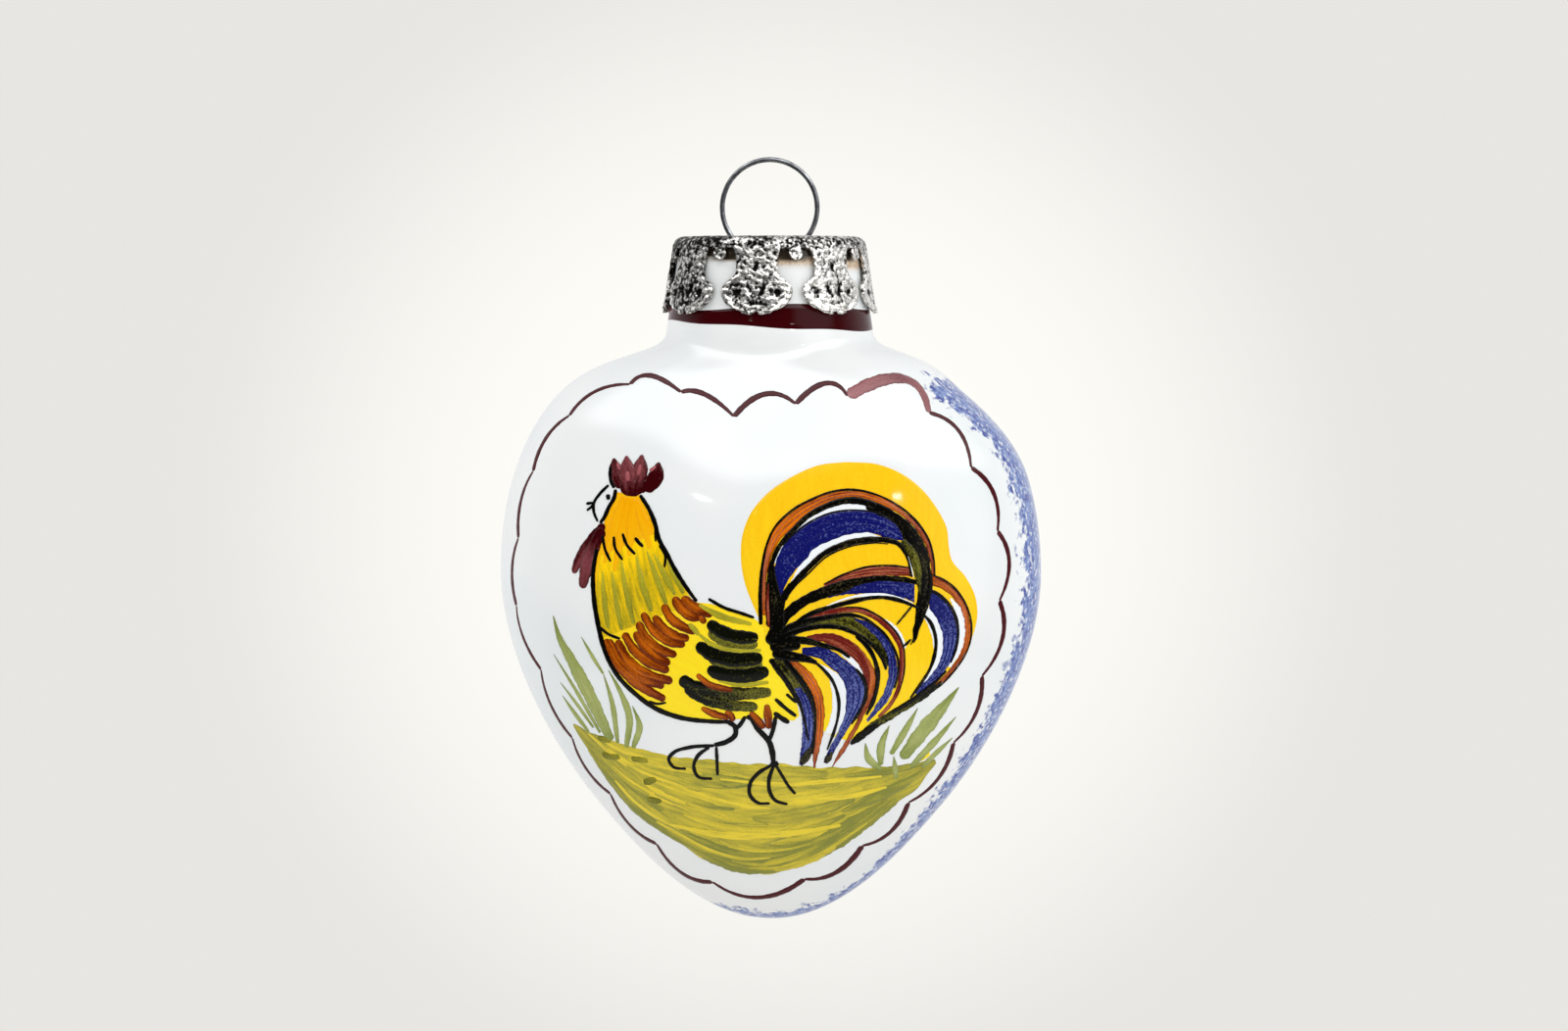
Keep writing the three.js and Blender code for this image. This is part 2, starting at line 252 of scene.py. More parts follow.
def bezier(start, leave, meet, end, steps=200):
    """Points of a cubic Bezier curve: sum of the Bernstein weights times its four points."""
    t = np.linspace(0, 1, steps)[:, None]
    return (1 - t) ** 3 * start + 3 * t * (1 - t) ** 2 * leave + 3 * t * t * (1 - t) * meet + t ** 3 * end


def neck_radius(z):
    """A slow cone from the rim down to the root."""
    return NECK_RIM_RADIUS + (RIM_Z - z) * (NECK_ROOT_RADIUS - NECK_RIM_RADIUS) / (RIM_Z - NECK_ROOT_Z)


neck_z = np.linspace(RIM_Z - RIM_ROUND, NECK_ROOT_Z, NECK_POINTS)
rail = np.concatenate([
    xyz(neck_radius(neck_z), neck_radius(neck_z), neck_z)[:-1],
    bezier(ROOT, ROOT + ROOT_RUN, SHOULDER - SHOULDER_RUN, SHOULDER)[:-1],
    bezier(SHOULDER, SHOULDER + PULL_BELOW_SHOULDER * SHOULDER_RUN,
           BELLY - PULL_ABOVE_BELLY * BELLY_RUN, BELLY)[:-1],
    bezier(BELLY, BELLY + BELLY_RUN, FLANK - FLANK_RUN, FLANK)[:-1],
    bezier(FLANK, FLANK + FLANK_RUN, TIP - TIP_RUN, TIP),
])

# %% The skin between the rails


def rail_at(z):
    """Half-width and half-depth at a height, read off the rails."""
    drop = -np.asarray(z)
    return np.interp(drop, -rail[:, 2], rail[:, 0]), np.interp(drop, -rail[:, 2], rail[:, 1])


def squareness(z):
    """The superellipse exponent: 2, a circle, at the neck and fuller from half-way to the belly."""
    return 2 + (SQUARENESS - 2) * smoothstep(0, BELLY_DROP / 2, NECK_ROOT_Z - z)


def cleft(x, z):
    """Share of the depth that the notch takes: a bell curve about a point under the neck."""
    drop = NECK_ROOT_Z - z
    bell = np.exp(-((drop - CLEFT_DROP) / CLEFT_SPREAD) ** 2 - (x / CLEFT_HALF_WIDTH) ** 2)
    return CLEFT_DEPTH * smoothstep(0, CLEFT_DROP / 2, drop) * bell


def sag(x, z):
    """How far the cast sank at a shoulder, the right one most: a bell over z times lean x + bend x^2."""
    bell = smoothstep(SAG_END_Z, SAG_Z, z) * (1 - smoothstep(SAG_Z, SAG_TOP_Z, z))
    return bell * (SAG_LEAN * x + SAG_BEND * x * x)


def section(width, depth, z, turn):
    """Superellipse x = W sgn(c)|c|^(2/n), y = D sgn(s)|s|^(2/n) (1 - cleft), level at z before it sags.
    The sunken height solves h = z - sag(x, h), by putting h in again and again."""
    power = 2 / squareness(z)
    c, s = np.cos(turn), np.sin(turn)
    x = width * np.sign(c) * np.abs(c) ** power
    y = depth * np.sign(s) * np.abs(s) ** power * (1 - cleft(x, z))
    sunk = z
    for _ in range(SAG_PASSES):
        sunk = z - sag(x, sunk)
    return xyz(x, y, sunk)


def depth_at(x, z):
    """The skin's distance from the seam: D (1 - |x/W|^n)^(1/n) (1 - cleft), at the z before it sagged."""
    z = z + sag(x, z)
    width, depth = rail_at(z)
    n = squareness(z)
    share = np.clip(np.abs(x) / np.maximum(width, 1e-6), 0, SEAM_SHARE)
    return depth * (1 - share ** n) ** (1 / n) * (1 - cleft(x, z))


def skin_point(x, z, facing=-1):
    """The point of the painted face (facing -1) or of the back (1) at x and z."""
    return xyz(x, facing * depth_at(x, z), z)


def skin_normal(x, z, facing=-1):
    """Outward normal of y = facing * Y(x, z): (-Y_x, facing, -Y_z), by central differences."""
    step = NORMAL_STEP
    slope_x = (depth_at(x + step, z) - depth_at(x - step, z)) / (2 * step)
    slope_z = (depth_at(x, z + step) - depth_at(x, z - step)) / (2 * step)
    return unit(xyz(-slope_x, facing, -slope_z))


print("rail points", len(rail), "widest", round(rail[:, 0].max(), 2), "deepest", round(rail[:, 1].max(), 2))

# %% [markdown]
# ## Nodes for the finishes
#
# Materials are node trees. A small helper adds a node and fills its sockets, so that a tree reads
# as a list of steps. Colours are written as they are seen, 0 to 255, and turned into the linear
# values that Blender works with.

# %% Helpers for node trees


def seen(red, green, blue):
    """Linear colour of a seen one: c / 12.92 near black, else ((c + 0.055) / 1.055)^2.4."""
    share = np.array([red, green, blue]) / 255
    linear = np.where(share <= 0.04045, share / 12.92, ((share + 0.055) / 1.055) ** 2.4)
    return (*linear.tolist(), 1.0)


def put(tree, kind, sockets=None, **settings):
    """Adds a node, sets its settings, and fills its sockets with values or links."""
    made = tree.nodes.new("ShaderNode" + kind)
    for name, value in settings.items():
        setattr(made, name, value)
    for key, value in (sockets or {}).items():
        if isinstance(value, bpy.types.NodeSocket):
            tree.links.new(value, made.inputs[key])
        else:
            made.inputs[key].default_value = value
    return made


def combine(tree, operation, first, second=0.0, third=0.0):
    """The output of one Math node."""
    return put(tree, "Math", {0: first, 1: second, 2: third}, operation=operation).outputs[0]


def ramp(tree, value, low, high, bottom=0.0, top=1.0):
    """The output of a smooth Map Range node."""
    sockets = {"Value": value, "From Min": low, "From Max": high, "To Min": bottom, "To Max": top}
    return put(tree, "MapRange", sockets, interpolation_type="SMOOTHSTEP").outputs[0]


def blend_colours(tree, factor, first, second):
    """The output of a Mix node for colours."""
    return put(tree, "Mix", {0: factor, 6: first, 7: second}, data_type="RGBA").outputs[2]


def noise(tree, vector, scale, detail=2.0):
    """The value of a Noise texture, about 0 to 1. Scales are counts in a metre."""
    return put(tree, "TexNoise", {"Vector": vector, "Scale": scale, "Detail": detail}).outputs[0]


def object_place(tree):
    """The place of a point on its own object, in metres."""
    return put(tree, "TexCoord").outputs["Object"]


def kept_value(tree, label, output="Fac"):
    """The numbers that a mesh keeps under a label."""
    return put(tree, "Attribute", attribute_name=label).outputs[output]


# %% Helpers for groups and materials


def new_group(name, inputs, outputs):
    """An empty shader node group with named sockets, and its input and output nodes."""
    group = bpy.data.node_groups.new(name, "ShaderNodeTree")
    for label, kind in inputs:
        group.interface.new_socket(name=label, in_out="INPUT", socket_type="NodeSocket" + kind)
    for label, kind in outputs:
        group.interface.new_socket(name=label, in_out="OUTPUT", socket_type="NodeSocket" + kind)
    return group, group.nodes.new("NodeGroupInput"), group.nodes.new("NodeGroupOutput")


def new_material(name, **constants):
    """A material with one Principled shader, whose plain values are set on its own sockets."""
    material = bpy.data.materials.new(name)
    material.use_nodes = True
    shader = material.node_tree.nodes["Principled BSDF"]
    for label, value in constants.items():
        shader.inputs[label.replace("_", " ")].default_value = value
    return material, material.node_tree, shader


# %% [markdown]
# ## The glaze
#
# Tin glaze is a glass that lies on the clay a quarter of a millimetre thick. It pools in a slow
# ripple, it has a fine orange-peel skin, and here and there a pinhole. The painting was fired under
# the same glass, so this skin is one node group that the heart and every pigment share: it reads
# Object coordinates, and so the ripple runs on from the white glaze across the paint.

# %% The skin of the glaze, shared by the heart and the painting
# How many of each there are in a metre.
RIPPLES = 75.0
PEEL = 700.0
PINHOLES = 260.0
GLOSS_PATCHES = 160.0
# The noise where the skin is glossiest, and where it is dullest.
GLOSS_HOLDS = (0.3, 0.7)
# Heights are shares of the slow ripple's height.
PEEL_HEIGHT = 0.05
PINHOLE_DEPTH = 0.12
PINHOLE_LIP = (0.02, 0.07)
SKIN_ROUGHNESS = (0.055, 0.11)
SKIN_STRENGTH = 0.5
SKIN_RELIEF = 0.06 * MM

glaze_skin, _, skin_out = new_group("glaze_skin", [], [("Height", "Float"), ("Roughness", "Float")])
place = object_place(glaze_skin)
ripple = noise(glaze_skin, place, RIPPLES, 1.0)
peel = noise(glaze_skin, place, PEEL)
pinholes = put(glaze_skin, "TexVoronoi", {"Vector": place, "Scale": PINHOLES}).outputs["Distance"]
beside_pinholes = ramp(glaze_skin, pinholes, *PINHOLE_LIP)
height = combine(glaze_skin, "MULTIPLY_ADD", peel, PEEL_HEIGHT, ripple)
height = combine(glaze_skin, "MULTIPLY_ADD", beside_pinholes, PINHOLE_DEPTH, height)
patches = noise(glaze_skin, place, GLOSS_PATCHES)
roughness = ramp(glaze_skin, patches, *GLOSS_HOLDS, *SKIN_ROUGHNESS)
glaze_skin.links.new(height, skin_out.inputs["Height"])
glaze_skin.links.new(roughness, skin_out.inputs["Roughness"])


def give_glaze_skin(tree, shader):
    """Feeds a shader's roughness and normal from the shared skin."""
    skin = put(tree, "Group", node_tree=glaze_skin)
    relief = {"Strength": SKIN_STRENGTH, "Distance": SKIN_RELIEF, "Height": skin.outputs["Height"]}
    tree.links.new(skin.outputs["Roughness"], shader.inputs["Roughness"])
    tree.links.new(put(tree, "Bump", relief).outputs[0], shader.inputs["Normal"])


# %% The white glaze
GLAZE = seen(233, 234, 232)
GLAZE_THICK = seen(225, 229, 228)
GLAZE_GLASS = {"IOR": 1.52}
GLAZE_POOLS = 55.0
# Most of a noise's values lie between these.
MOST_OF_NOISE = (0.35, 0.7)

glaze_material, glaze_tree, glaze_shader = new_material("white_tin_glaze", **GLAZE_GLASS)
give_glaze_skin(glaze_tree, glaze_shader)
place = object_place(glaze_tree)
pooled = ramp(glaze_tree, noise(glaze_tree, place, GLAZE_POOLS), *MOST_OF_NOISE)
white = blend_colours(glaze_tree, pooled, GLAZE, GLAZE_THICK)

# %% The blue that was dabbed along the seam with a sponge
SPONGE_PALE = seen(112, 134, 186)
SPONGE_DEEP = seen(40, 60, 142)
SPONGE_PORES = 1300.0
SPONGE_DABS = 520.0
WHITE_FLECKS = 1700.0
PORE_SHARE = 0.8
DAB_SHARE = 0.9
MASK_SHARE = 0.8
FLECK_SHARE = 0.6
# Where the sum of pores, dabs and mask begins to leave blue, and where it leaves all of it.
BLUE_HOLDS = (1.13, 1.36)
FLECK_HOLDS = (0.56, 0.66)
DEEP_HOLDS = (0.4, 0.66)
MASK_BORDER = (0.02, 0.2)

mask = kept_value(glaze_tree, "sponge")
pores = noise(glaze_tree, place, SPONGE_PORES, 3.0)
dabs = combine(glaze_tree, "MULTIPLY", noise(glaze_tree, place, SPONGE_DABS), DAB_SHARE)
wet = combine(glaze_tree, "MULTIPLY_ADD", pores, PORE_SHARE, dabs)
wet = combine(glaze_tree, "MULTIPLY_ADD", mask, MASK_SHARE, wet)
flecks = ramp(glaze_tree, noise(glaze_tree, place, WHITE_FLECKS, 1.0), *FLECK_HOLDS)
covered = combine(glaze_tree, "MULTIPLY_ADD", flecks, -FLECK_SHARE, ramp(glaze_tree, wet, *BLUE_HOLDS))
covered = combine(glaze_tree, "MULTIPLY", covered, ramp(glaze_tree, mask, *MASK_BORDER))
covered = put(glaze_tree, "Clamp", {0: covered}).outputs[0]
blue = blend_colours(glaze_tree, ramp(glaze_tree, pores, *DEEP_HOLDS), SPONGE_PALE, SPONGE_DEEP)
sponged = blend_colours(glaze_tree, covered, white, blue)

# %% The bare clay of the rim, with the cap's shadow painted dark on it
CLAY = seen(216, 196, 170)
CLAY_SPECK = seen(182, 154, 122)
# Painted shade: the colour of the cap's shadow on the top of the rim.
CAP_SHADOW_ON_CLAY = seen(44, 36, 26)
CLAY_SPECKS = 2600.0

specks = ramp(glaze_tree, noise(glaze_tree, place, CLAY_SPECKS), *MOST_OF_NOISE)
clay = blend_colours(glaze_tree, specks, CLAY, CLAY_SPECK)
# The cap's shadow is painted into the clay's colour, darkest at the top of the rim.
clay = blend_colours(glaze_tree, kept_value(glaze_tree, "cap_shadow"), clay, CAP_SHADOW_ON_CLAY)
finish = blend_colours(glaze_tree, kept_value(glaze_tree, "bare_clay"), sponged, clay)
glaze_tree.links.new(finish, glaze_shader.inputs["Base Color"])
print("glaze nodes", len(glaze_tree.nodes))

# %% [markdown]
# ## The glazed heart
#
# One closed mesh: up the inside from the hollow's lowest point, through the bore, over the rounded
# rim, down the neck and the heart to the tip. Three masks travel with it as attributes: how much blue
# the sponge left along the side seam, where the rim stayed bare in the kiln, and where the cap's
# shadow is painted dark on the top of the rim. They could be painted by hand on the mesh, but a
# formula of x, y and z can be changed.

# %% The rows of the heart's mesh
HEART_COLUMNS = 256
OUTSIDE_ROWS = 250
HOLLOW_ROWS = 34
BORE_ROWS = 8
LIP_ROWS = 8
BORE_FOOT = 1.2
HOLLOW_DIP = 0.2


def even_rows(line, count):
    """The same rail cut into stretches of equal length."""
    travelled = way_along(line)
    at = np.linspace(0, travelled[-1], count)
    return np.stack([np.interp(at, travelled, column) for column in line.T], -1)


def rim_arc(centre, start, end):
    """A quarter round of the rim, as rail rows."""
    turn = np.linspace(start, end, LIP_ROWS)
    radius = centre + RIM_ROUND * np.cos(turn)
    return xyz(radius, radius, RIM_Z - RIM_ROUND + RIM_ROUND * np.sin(turn))


def heart_rails():
    """Inside, bore, rim and outside as one list of rows. The hollow is the heart shrunk by its wall."""
    lower = rail[rail[:, 2] < SHOULDER[2]]
    middle_z = BELLY[2]
    shrink = np.array([1 - WALL / HALF_WIDTH, 1 - WALL / HALF_DEPTH, 1 - WALL / (middle_z - TIP_Z)])
    hollow = (even_rows(lower, HOLLOW_ROWS)[:-1] - [0, 0, middle_z]) * shrink + [0, 0, middle_z]
    bore_z = np.linspace(SHOULDER[2] + BORE_FOOT, RIM_Z - RIM_ROUND, BORE_ROWS)[:-1]
    bore = xyz(BORE_RADIUS, BORE_RADIUS, bore_z)
    inner_lip = rim_arc(BORE_RADIUS + RIM_ROUND, math.pi, math.pi / 2)
    outer_lip = rim_arc(neck_radius(RIM_Z - RIM_ROUND) - RIM_ROUND, math.pi / 2, 0)
    outside = even_rows(rail, OUTSIDE_ROWS)[1:-1]
    return np.concatenate([hollow[::-1], bore, inner_lip, outer_lip, outside]), len(hollow) + len(bore)


rows, inside_rows = heart_rails()
heart_grid = section(rows[:, :1], rows[:, 1:2], rows[:, 2:], full_turn(HEART_COLUMNS))
inner_pole = len(rows) * HEART_COLUMNS
outer_pole = inner_pole + 1
poles = np.array([[0, 0, rows[0, 2] - HOLLOW_DIP], [0, 0, TIP_Z]])
heart_points = np.concatenate([heart_grid.reshape(-1, 3), poles])
column = np.arange(HEART_COLUMNS)
after = (column + 1) % HEART_COLUMNS
last = (len(rows) - 1) * HEART_COLUMNS
heart_faces = [
    *ring_faces(len(rows), HEART_COLUMNS)[:, ::-1],
    *np.stack([np.full_like(column, inner_pole), after, column], -1)[:, ::-1],
    *np.stack([last + column, last + after, np.full_like(column, outer_pole)], -1)[:, ::-1],
]
print("heart rows", len(rows), "of which inside", inside_rows)

# %% The masks of the sponge, the bare clay and the stain
SPONGE_REACH = 8.2
SPONGE_TOP_Z = -24.2
SPONGE_TOP = (SPONGE_TOP_Z - 3, SPONGE_TOP_Z + 1.5)
SPONGE_FADE = (0.5, 1.25)
MORE_ON_LOBES = 0.9
LOBES_Z = (-31, -26)
LESS_AT_TIP = 3.4
TAPER_Z = (TIP_Z - 2, TIP_Z + 24)
# On the left of the face the sponge left a narrow edge only.
LEFT_SHARE = 0.3
LEFT_X = (-14, -2)
GLAZE_LINE_DROP = 1.9
GLAZE_LINE_TILT = 1.1
GLAZE_LINE_TURN = 0.5
GLAZE_LINE_WAVES = 5
GLAZE_LINE_BLUR = 0.25
# Painted shade: how far the cap's shadow reaches down from the rim, how many waves its edge has, and its
# blur.
CAP_SHADOW_DEPTH = 2.2
CAP_SHADOW_WAVES = 9
CAP_SHADOW_BLUR = 0.4
HAND_SWING = 0.15

outer = np.arange(len(heart_points)) >= inside_rows * HEART_COLUMNS
x, y, height = heart_points.T
reach = SPONGE_REACH + MORE_ON_LOBES * smoothstep(*LOBES_Z, height)
reach = reach - LESS_AT_TIP * (1 - smoothstep(*TAPER_Z, height))
reach = reach * np.where(y < 0, LEFT_SHARE + (1 - LEFT_SHARE) * smoothstep(*LEFT_X, x), 1)
sponge = 1 - smoothstep(*SPONGE_FADE, np.abs(y) / reach)
sponge = sponge * (1 - smoothstep(*SPONGE_TOP, height)) * outer
around = np.arctan2(y, x)
glaze_line = RIM_Z - GLAZE_LINE_DROP - GLAZE_LINE_TILT * np.cos(around + GLAZE_LINE_TURN)
glaze_line = glaze_line + HAND_SWING * np.sin(GLAZE_LINE_WAVES * around)
bare_clay = np.maximum(smoothstep(-GLAZE_LINE_BLUR, GLAZE_LINE_BLUR, height - glaze_line), ~outer)
# The cap's shadow, painted as a dark band that fades downwards from the top of the rim.
below_rim = height - RIM_Z + HAND_SWING * np.sin(CAP_SHADOW_WAVES * around)
cap_shadow = smoothstep(-CAP_SHADOW_DEPTH, CAP_SHADOW_BLUR - CAP_SHADOW_DEPTH, below_rim) * outer
# The painted shadow also counts as bare clay, so that it darkens the clay's colour.
masks = {"sponge": sponge, "bare_clay": np.maximum(bare_clay, cap_shadow), "cap_shadow": cap_shadow}
glazed_heart = add_piece(
    "glazed_heart", heart_points, heart_faces, glaze_material, "vase", values=masks)
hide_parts("faience_body")
volume = signed_volume(heart_points, heart_faces) * MM
print("glazed_heart", len(heart_points), "points, volume", round(volume, 2), "cm3")

# %% [markdown]
# ## Cards for the cartoon
#
# A faience painter sets out a stock figure by pouncing charcoal through a pricked card, and then
# paints it freehand. The strutting rooster in a lobed frame is such a stock figure of country
# faience. Here a card is a flat drawing that faces the camera at the aim's distance, and each of its
# points is carried along the line of sight until it meets the glaze. Cards with many units to a
# millimetre are enlargements, for the fine work.

# %% Cards whose points are carried onto the heart
# The search begins this many half-depths in front of the seam.
SIGHT_START = 1.1
SIGHT_HALVINGS = 40


def card(left, top, units):
    """A card whose corner lies left and top of the aim, in millimetres, with units to a millimetre.
    Its point (u, v) is AIM + (left + u/units) RIGHT + (top - v/units) UP. The line of sight through
    that point is halved again and again about the place where it enters the skin."""

    def carry(*points):
        across, down = np.array(points, float).T
        target = AIM + np.outer(left + across / units, RIGHT) + np.outer(top - down / units, UP)
        sight = target - EYE
        near = (-SIGHT_START * HALF_DEPTH - EYE[1]) / sight[:, 1]
        far = -EYE[1] / sight[:, 1]
        for _ in range(SIGHT_HALVINGS):
            middle = (near + far) / 2
            x, y, z = (EYE + middle[:, None] * sight).T
            outside = y < -depth_at(x, z)
            near = np.where(outside, middle, near)
            far = np.where(outside, far, middle)
        return np.stack([x, z], -1)

    return carry


whole_card = card(left=-92.65, top=60.92, units=PICTURE_SCALE)
bird_card = card(left=-27.79, top=9.96, units=33.85)
tail_card = card(left=-6.95, top=8.80, units=38.68)
grass_card = card(left=-35.32, top=-1.62, units=37.61)
middle_of_face = whole_card((786, 640))[0]
print("middle of the face at x, z", np.round(middle_of_face, 2))

# %% [markdown]
# ## A brush stroke
#
# A loaded brush leaves a film that is widest where it is pressed, round where it is set down and
# thin where it is lifted. The film here is a lens of a few hundredths of a millimetre, carried along
# a path on the glaze: its edges dip under the glaze, so that it is a closed solid with no gap. A
# wash is the same film spread between two edges. Each film keeps four numbers at every point for
# its finish: how far along and across it lies, how much pigment the brush held, and how near the
# film's edge is.

# %% Curves that a brush follows
# The height of one layer, a film's bulge, and how deep its edges dip, in millimetres.
LAYER = 0.014
BULGE = 0.012
SINK = 0.03
LENS = np.array([-1, -0.94, -0.5, 0, 0.5, 0.94, 1])
LENS_TOP = (np.arange(len(LENS)) > 0) & (np.arange(len(LENS)) < len(LENS) - 2)
pots = {}


def smooth_path(points, share):
    """Hermite curve through points at shares of its chord length, sloped by neighbouring points."""
    chord = way_along(points)
    slope = np.gradient(points, chord, axis=0)
    wanted = share * chord[-1]
    k = np.clip(np.searchsorted(chord, wanted, side="right") - 1, 0, len(chord) - 2)
    span = (chord[k + 1] - chord[k])[:, None]
    t = (wanted - chord[k])[:, None] / span
    ends = (1 + 2 * t) * (1 - t) ** 2 * points[k] + t * t * (3 - 2 * t) * points[k + 1]
    return ends + span * (t * (1 - t) ** 2 * slope[k] + t * t * (t - 1) * slope[k + 1])


def along_list(values, share):
    """A short list of values spread evenly along a stroke."""
    return np.interp(share, np.linspace(0, 1, len(values)), values)


def round_end(distance):
    """The half-width of a round end, as a share, at a distance from it in its own radius."""
    return np.sqrt(1 - (1 - np.clip(distance, 0, 1)) ** 2)


def lens_lift(layer):
    """Height across a stroke, layer LAYER + BULGE (1 - v^2), with both edges SINK under the glaze."""
    return np.where(np.abs(LENS) == 1, -SINK, layer * LAYER + BULGE * (1 - LENS ** 2))


def keep_film(pot, points, faces, smooth, brush):
    """Adds one closed film to a pot. The columns of brush are along, across, load and edge."""
    columns = np.stack(np.broadcast_arrays(*brush), -1).reshape(-1, 4)
    pots.setdefault(pot, []).append((points.reshape(-1, 3), faces, smooth, columns))


# %% Strokes
STROKE_STEP = 0.17
STROKE_ROWS = (16, 200)
CLOSER_AT_ENDS = 0.6
# How much of its width a stroke gains and loses, and how fast along a millimetre of it.
WOBBLES = ((0.05, 2.9), (0.04, 7.3))
SMALLEST_END = 0.05
THINNEST = 0.012
# Each stroke starts anywhere along the brush's own pattern of hairs.
PATTERN_LENGTH = 100


def stroke(pot, path, width, press, load, layer, facing=-1):
    """One stroke: half-width(u) = width/2 press(u) wobble(u) with round ends, raised by lens_lift."""
    path = np.asarray(path, float)
    length = way_along(skin_point(path[:, 0], path[:, 1], facing))[-1]
    count = int(np.clip(length / STROKE_STEP, *STROKE_ROWS))
    even = np.linspace(0, 1, count)
    share = even - CLOSER_AT_ENDS * np.sin(2 * math.pi * even) / (2 * math.pi)
    line = smooth_path(path, share)
    spine = skin_point(line[:, 0], line[:, 1], facing)
    run = np.gradient(spine, axis=0)
    side = unit(np.cross(skin_normal(line[:, 0], line[:, 1], facing), run))
    travelled = way_along(spine)
    start = random.uniform(0, PATTERN_LENGTH)
    wobble = 1
    for (swing, pace), beat in zip(WOBBLES, random.uniform(0, 2 * math.pi, len(WOBBLES))):
        wobble = wobble + swing * np.sin(pace * travelled + beat)
    half = width / 2 * along_list(press, share) * wobble
    for way, end in ((travelled, press[0]), (travelled[-1] - travelled, press[-1])):
        half = half * round_end(way / max(width / 2 * end, SMALLEST_END))
    half = np.maximum(half, THINNEST)
    spread = spine[:, None] + side[:, None] * (half[:, None] * LENS)[..., None]
    x, z = spread[..., 0], spread[..., 2]
    film = skin_point(x, z, facing) + skin_normal(x, z, facing) * lens_lift(layer)[:, None]
    first_end = range(len(LENS))
    last_end = range(count * len(LENS) - 1, (count - 1) * len(LENS) - 1, -1)
    faces = [*ring_faces(count, len(LENS))[:, ::-1], first_end, last_end]
    smooth = [*np.tile(LENS_TOP, count - 1), False, False]
    brush = ((travelled + start)[:, None], LENS * width / 2, along_list(load, share)[:, None], np.abs(LENS))
    keep_film(pot, film, faces, smooth, brush)


def paint(to_skin, strokes):
    """Paints rows of pot, width in millimetres, press, load, layer and the points on a card."""
    for pot, width, press, load, layer, points in strokes:
        stroke(pot, to_skin(*points), width, press, load, layer)
    print(len(strokes), "strokes of", *sorted({row[0] for row in strokes}))


# %% The edges of a wash
BORDER_SHARE = 0.003
# The swings of a ragged edge, slow and quick, for the first and the second edge.
SLOW_SWINGS = np.array([31, 37])
QUICK_SWINGS = np.array([97, 83])
# Where the gap is narrower than this many swings, they shrink with it.
FULL_SWING_GAP = 20
NARROWEST_GAP = 0.01


def snug(count):
    """Shares from 0 to 1 with a very short first and last stretch, for a film's dipped border."""
    return np.concatenate([[0], np.linspace(BORDER_SHARE, 1 - BORDER_SHARE, count - 2), [1]])


def ragged_edges(first, second, u, ragged):
    """Both edges at shares u, swung to and fro by about that many millimetres along their gap."""
    first, second = (smooth_path(edge, u[:, 0])[:, None] for edge in (first, second))
    gap = second - first
    at = u[..., None]
    swing = np.sin(at * SLOW_SWINGS + random.uniform(0, 6, 2)) + np.sin(at * QUICK_SWINGS)
    breadth = np.linalg.norm(gap, axis=-1, keepdims=True)
    swing = ragged * swing / np.maximum(breadth, FULL_SWING_GAP * ragged + NARROWEST_GAP)
    return first - gap * swing[..., :1], second + gap * swing[..., 1:]


# %% Washes
POOL_WIDTH = 0.5


def wash(pot, first, second, load, layer=1, rows=140, columns=40, ragged=0.0):
    """A film between two edges: point (u, v) is (1 - v) first(u) + v second(u), set on the glaze.
    Its border is SINK under the glaze and is shared with a floor twice as deep."""
    u, v = snug(rows)[:, None], snug(columns)
    first, second = ragged_edges(first, second, u, ragged)
    line = first * (1 - v)[:, None] + second * v[:, None]
    x, z = line[..., 0], line[..., 1]
    inner = np.zeros((rows, columns), bool)
    inner[1:-1, 1:-1] = True
    skin, normal = skin_point(x, z), skin_normal(x, z)
    top = skin + normal * np.where(inner, layer * LAYER, -SINK)[..., None]
    floor = (skin - 2 * SINK * normal)[inner]
    below = np.arange(rows * columns).reshape(rows, columns)
    below[inner] = rows * columns + np.arange(len(floor))
    upper = sheet_faces(rows, columns)
    middle = rows // 2, columns // 2
    along = top[middle[0] + 1, middle[1]] - top[middle]
    across = top[middle[0], middle[1] + 1] - top[middle]
    if np.dot(np.cross(across, along), normal[middle]) < 0:
        upper = upper[:, ::-1]
    lower = below.ravel()[upper][:, ::-1]
    breadth = np.linalg.norm(second - first, axis=-1) * (v - 0.5)
    length = np.linalg.norm(skin[-1, middle[1]] - skin[0, middle[1]]) * u
    length = length + random.uniform(0, PATTERN_LENGTH)
    near_edge = np.clip(1 - (np.abs(breadth[:, :1]) - np.abs(breadth)) / POOL_WIDTH, 0, 1)
    brush = np.broadcast_arrays(length, breadth, along_list(load, u), near_edge)
    brush = [np.concatenate([part.ravel(), part[inner]]) for part in brush]
    points = np.concatenate([top.reshape(-1, 3), floor])
    keep_film(pot, points, [*upper, *lower], [True] * len(upper) + [False] * len(lower), brush)


# %% [markdown]
# ## The tail
#
# The tail is five sickle feathers that spring from one knot and curl over a yellow ground. The yellow
# was washed in first, with a soft lobed edge. Each feather is then a few broad bands of brown, cobalt,
# green or black and a sliver or two of bare white, with thin hair lines along the colours and black
# lines that hold it all. A single stroke couldn't follow a band that swells on one side only, so a
# band is a wash between two edges. A row of bands is a pot, its load from end to end, its layer and
# the two edges. A row of lines is a pot, a width in millimetres, press, load, layer and the path.

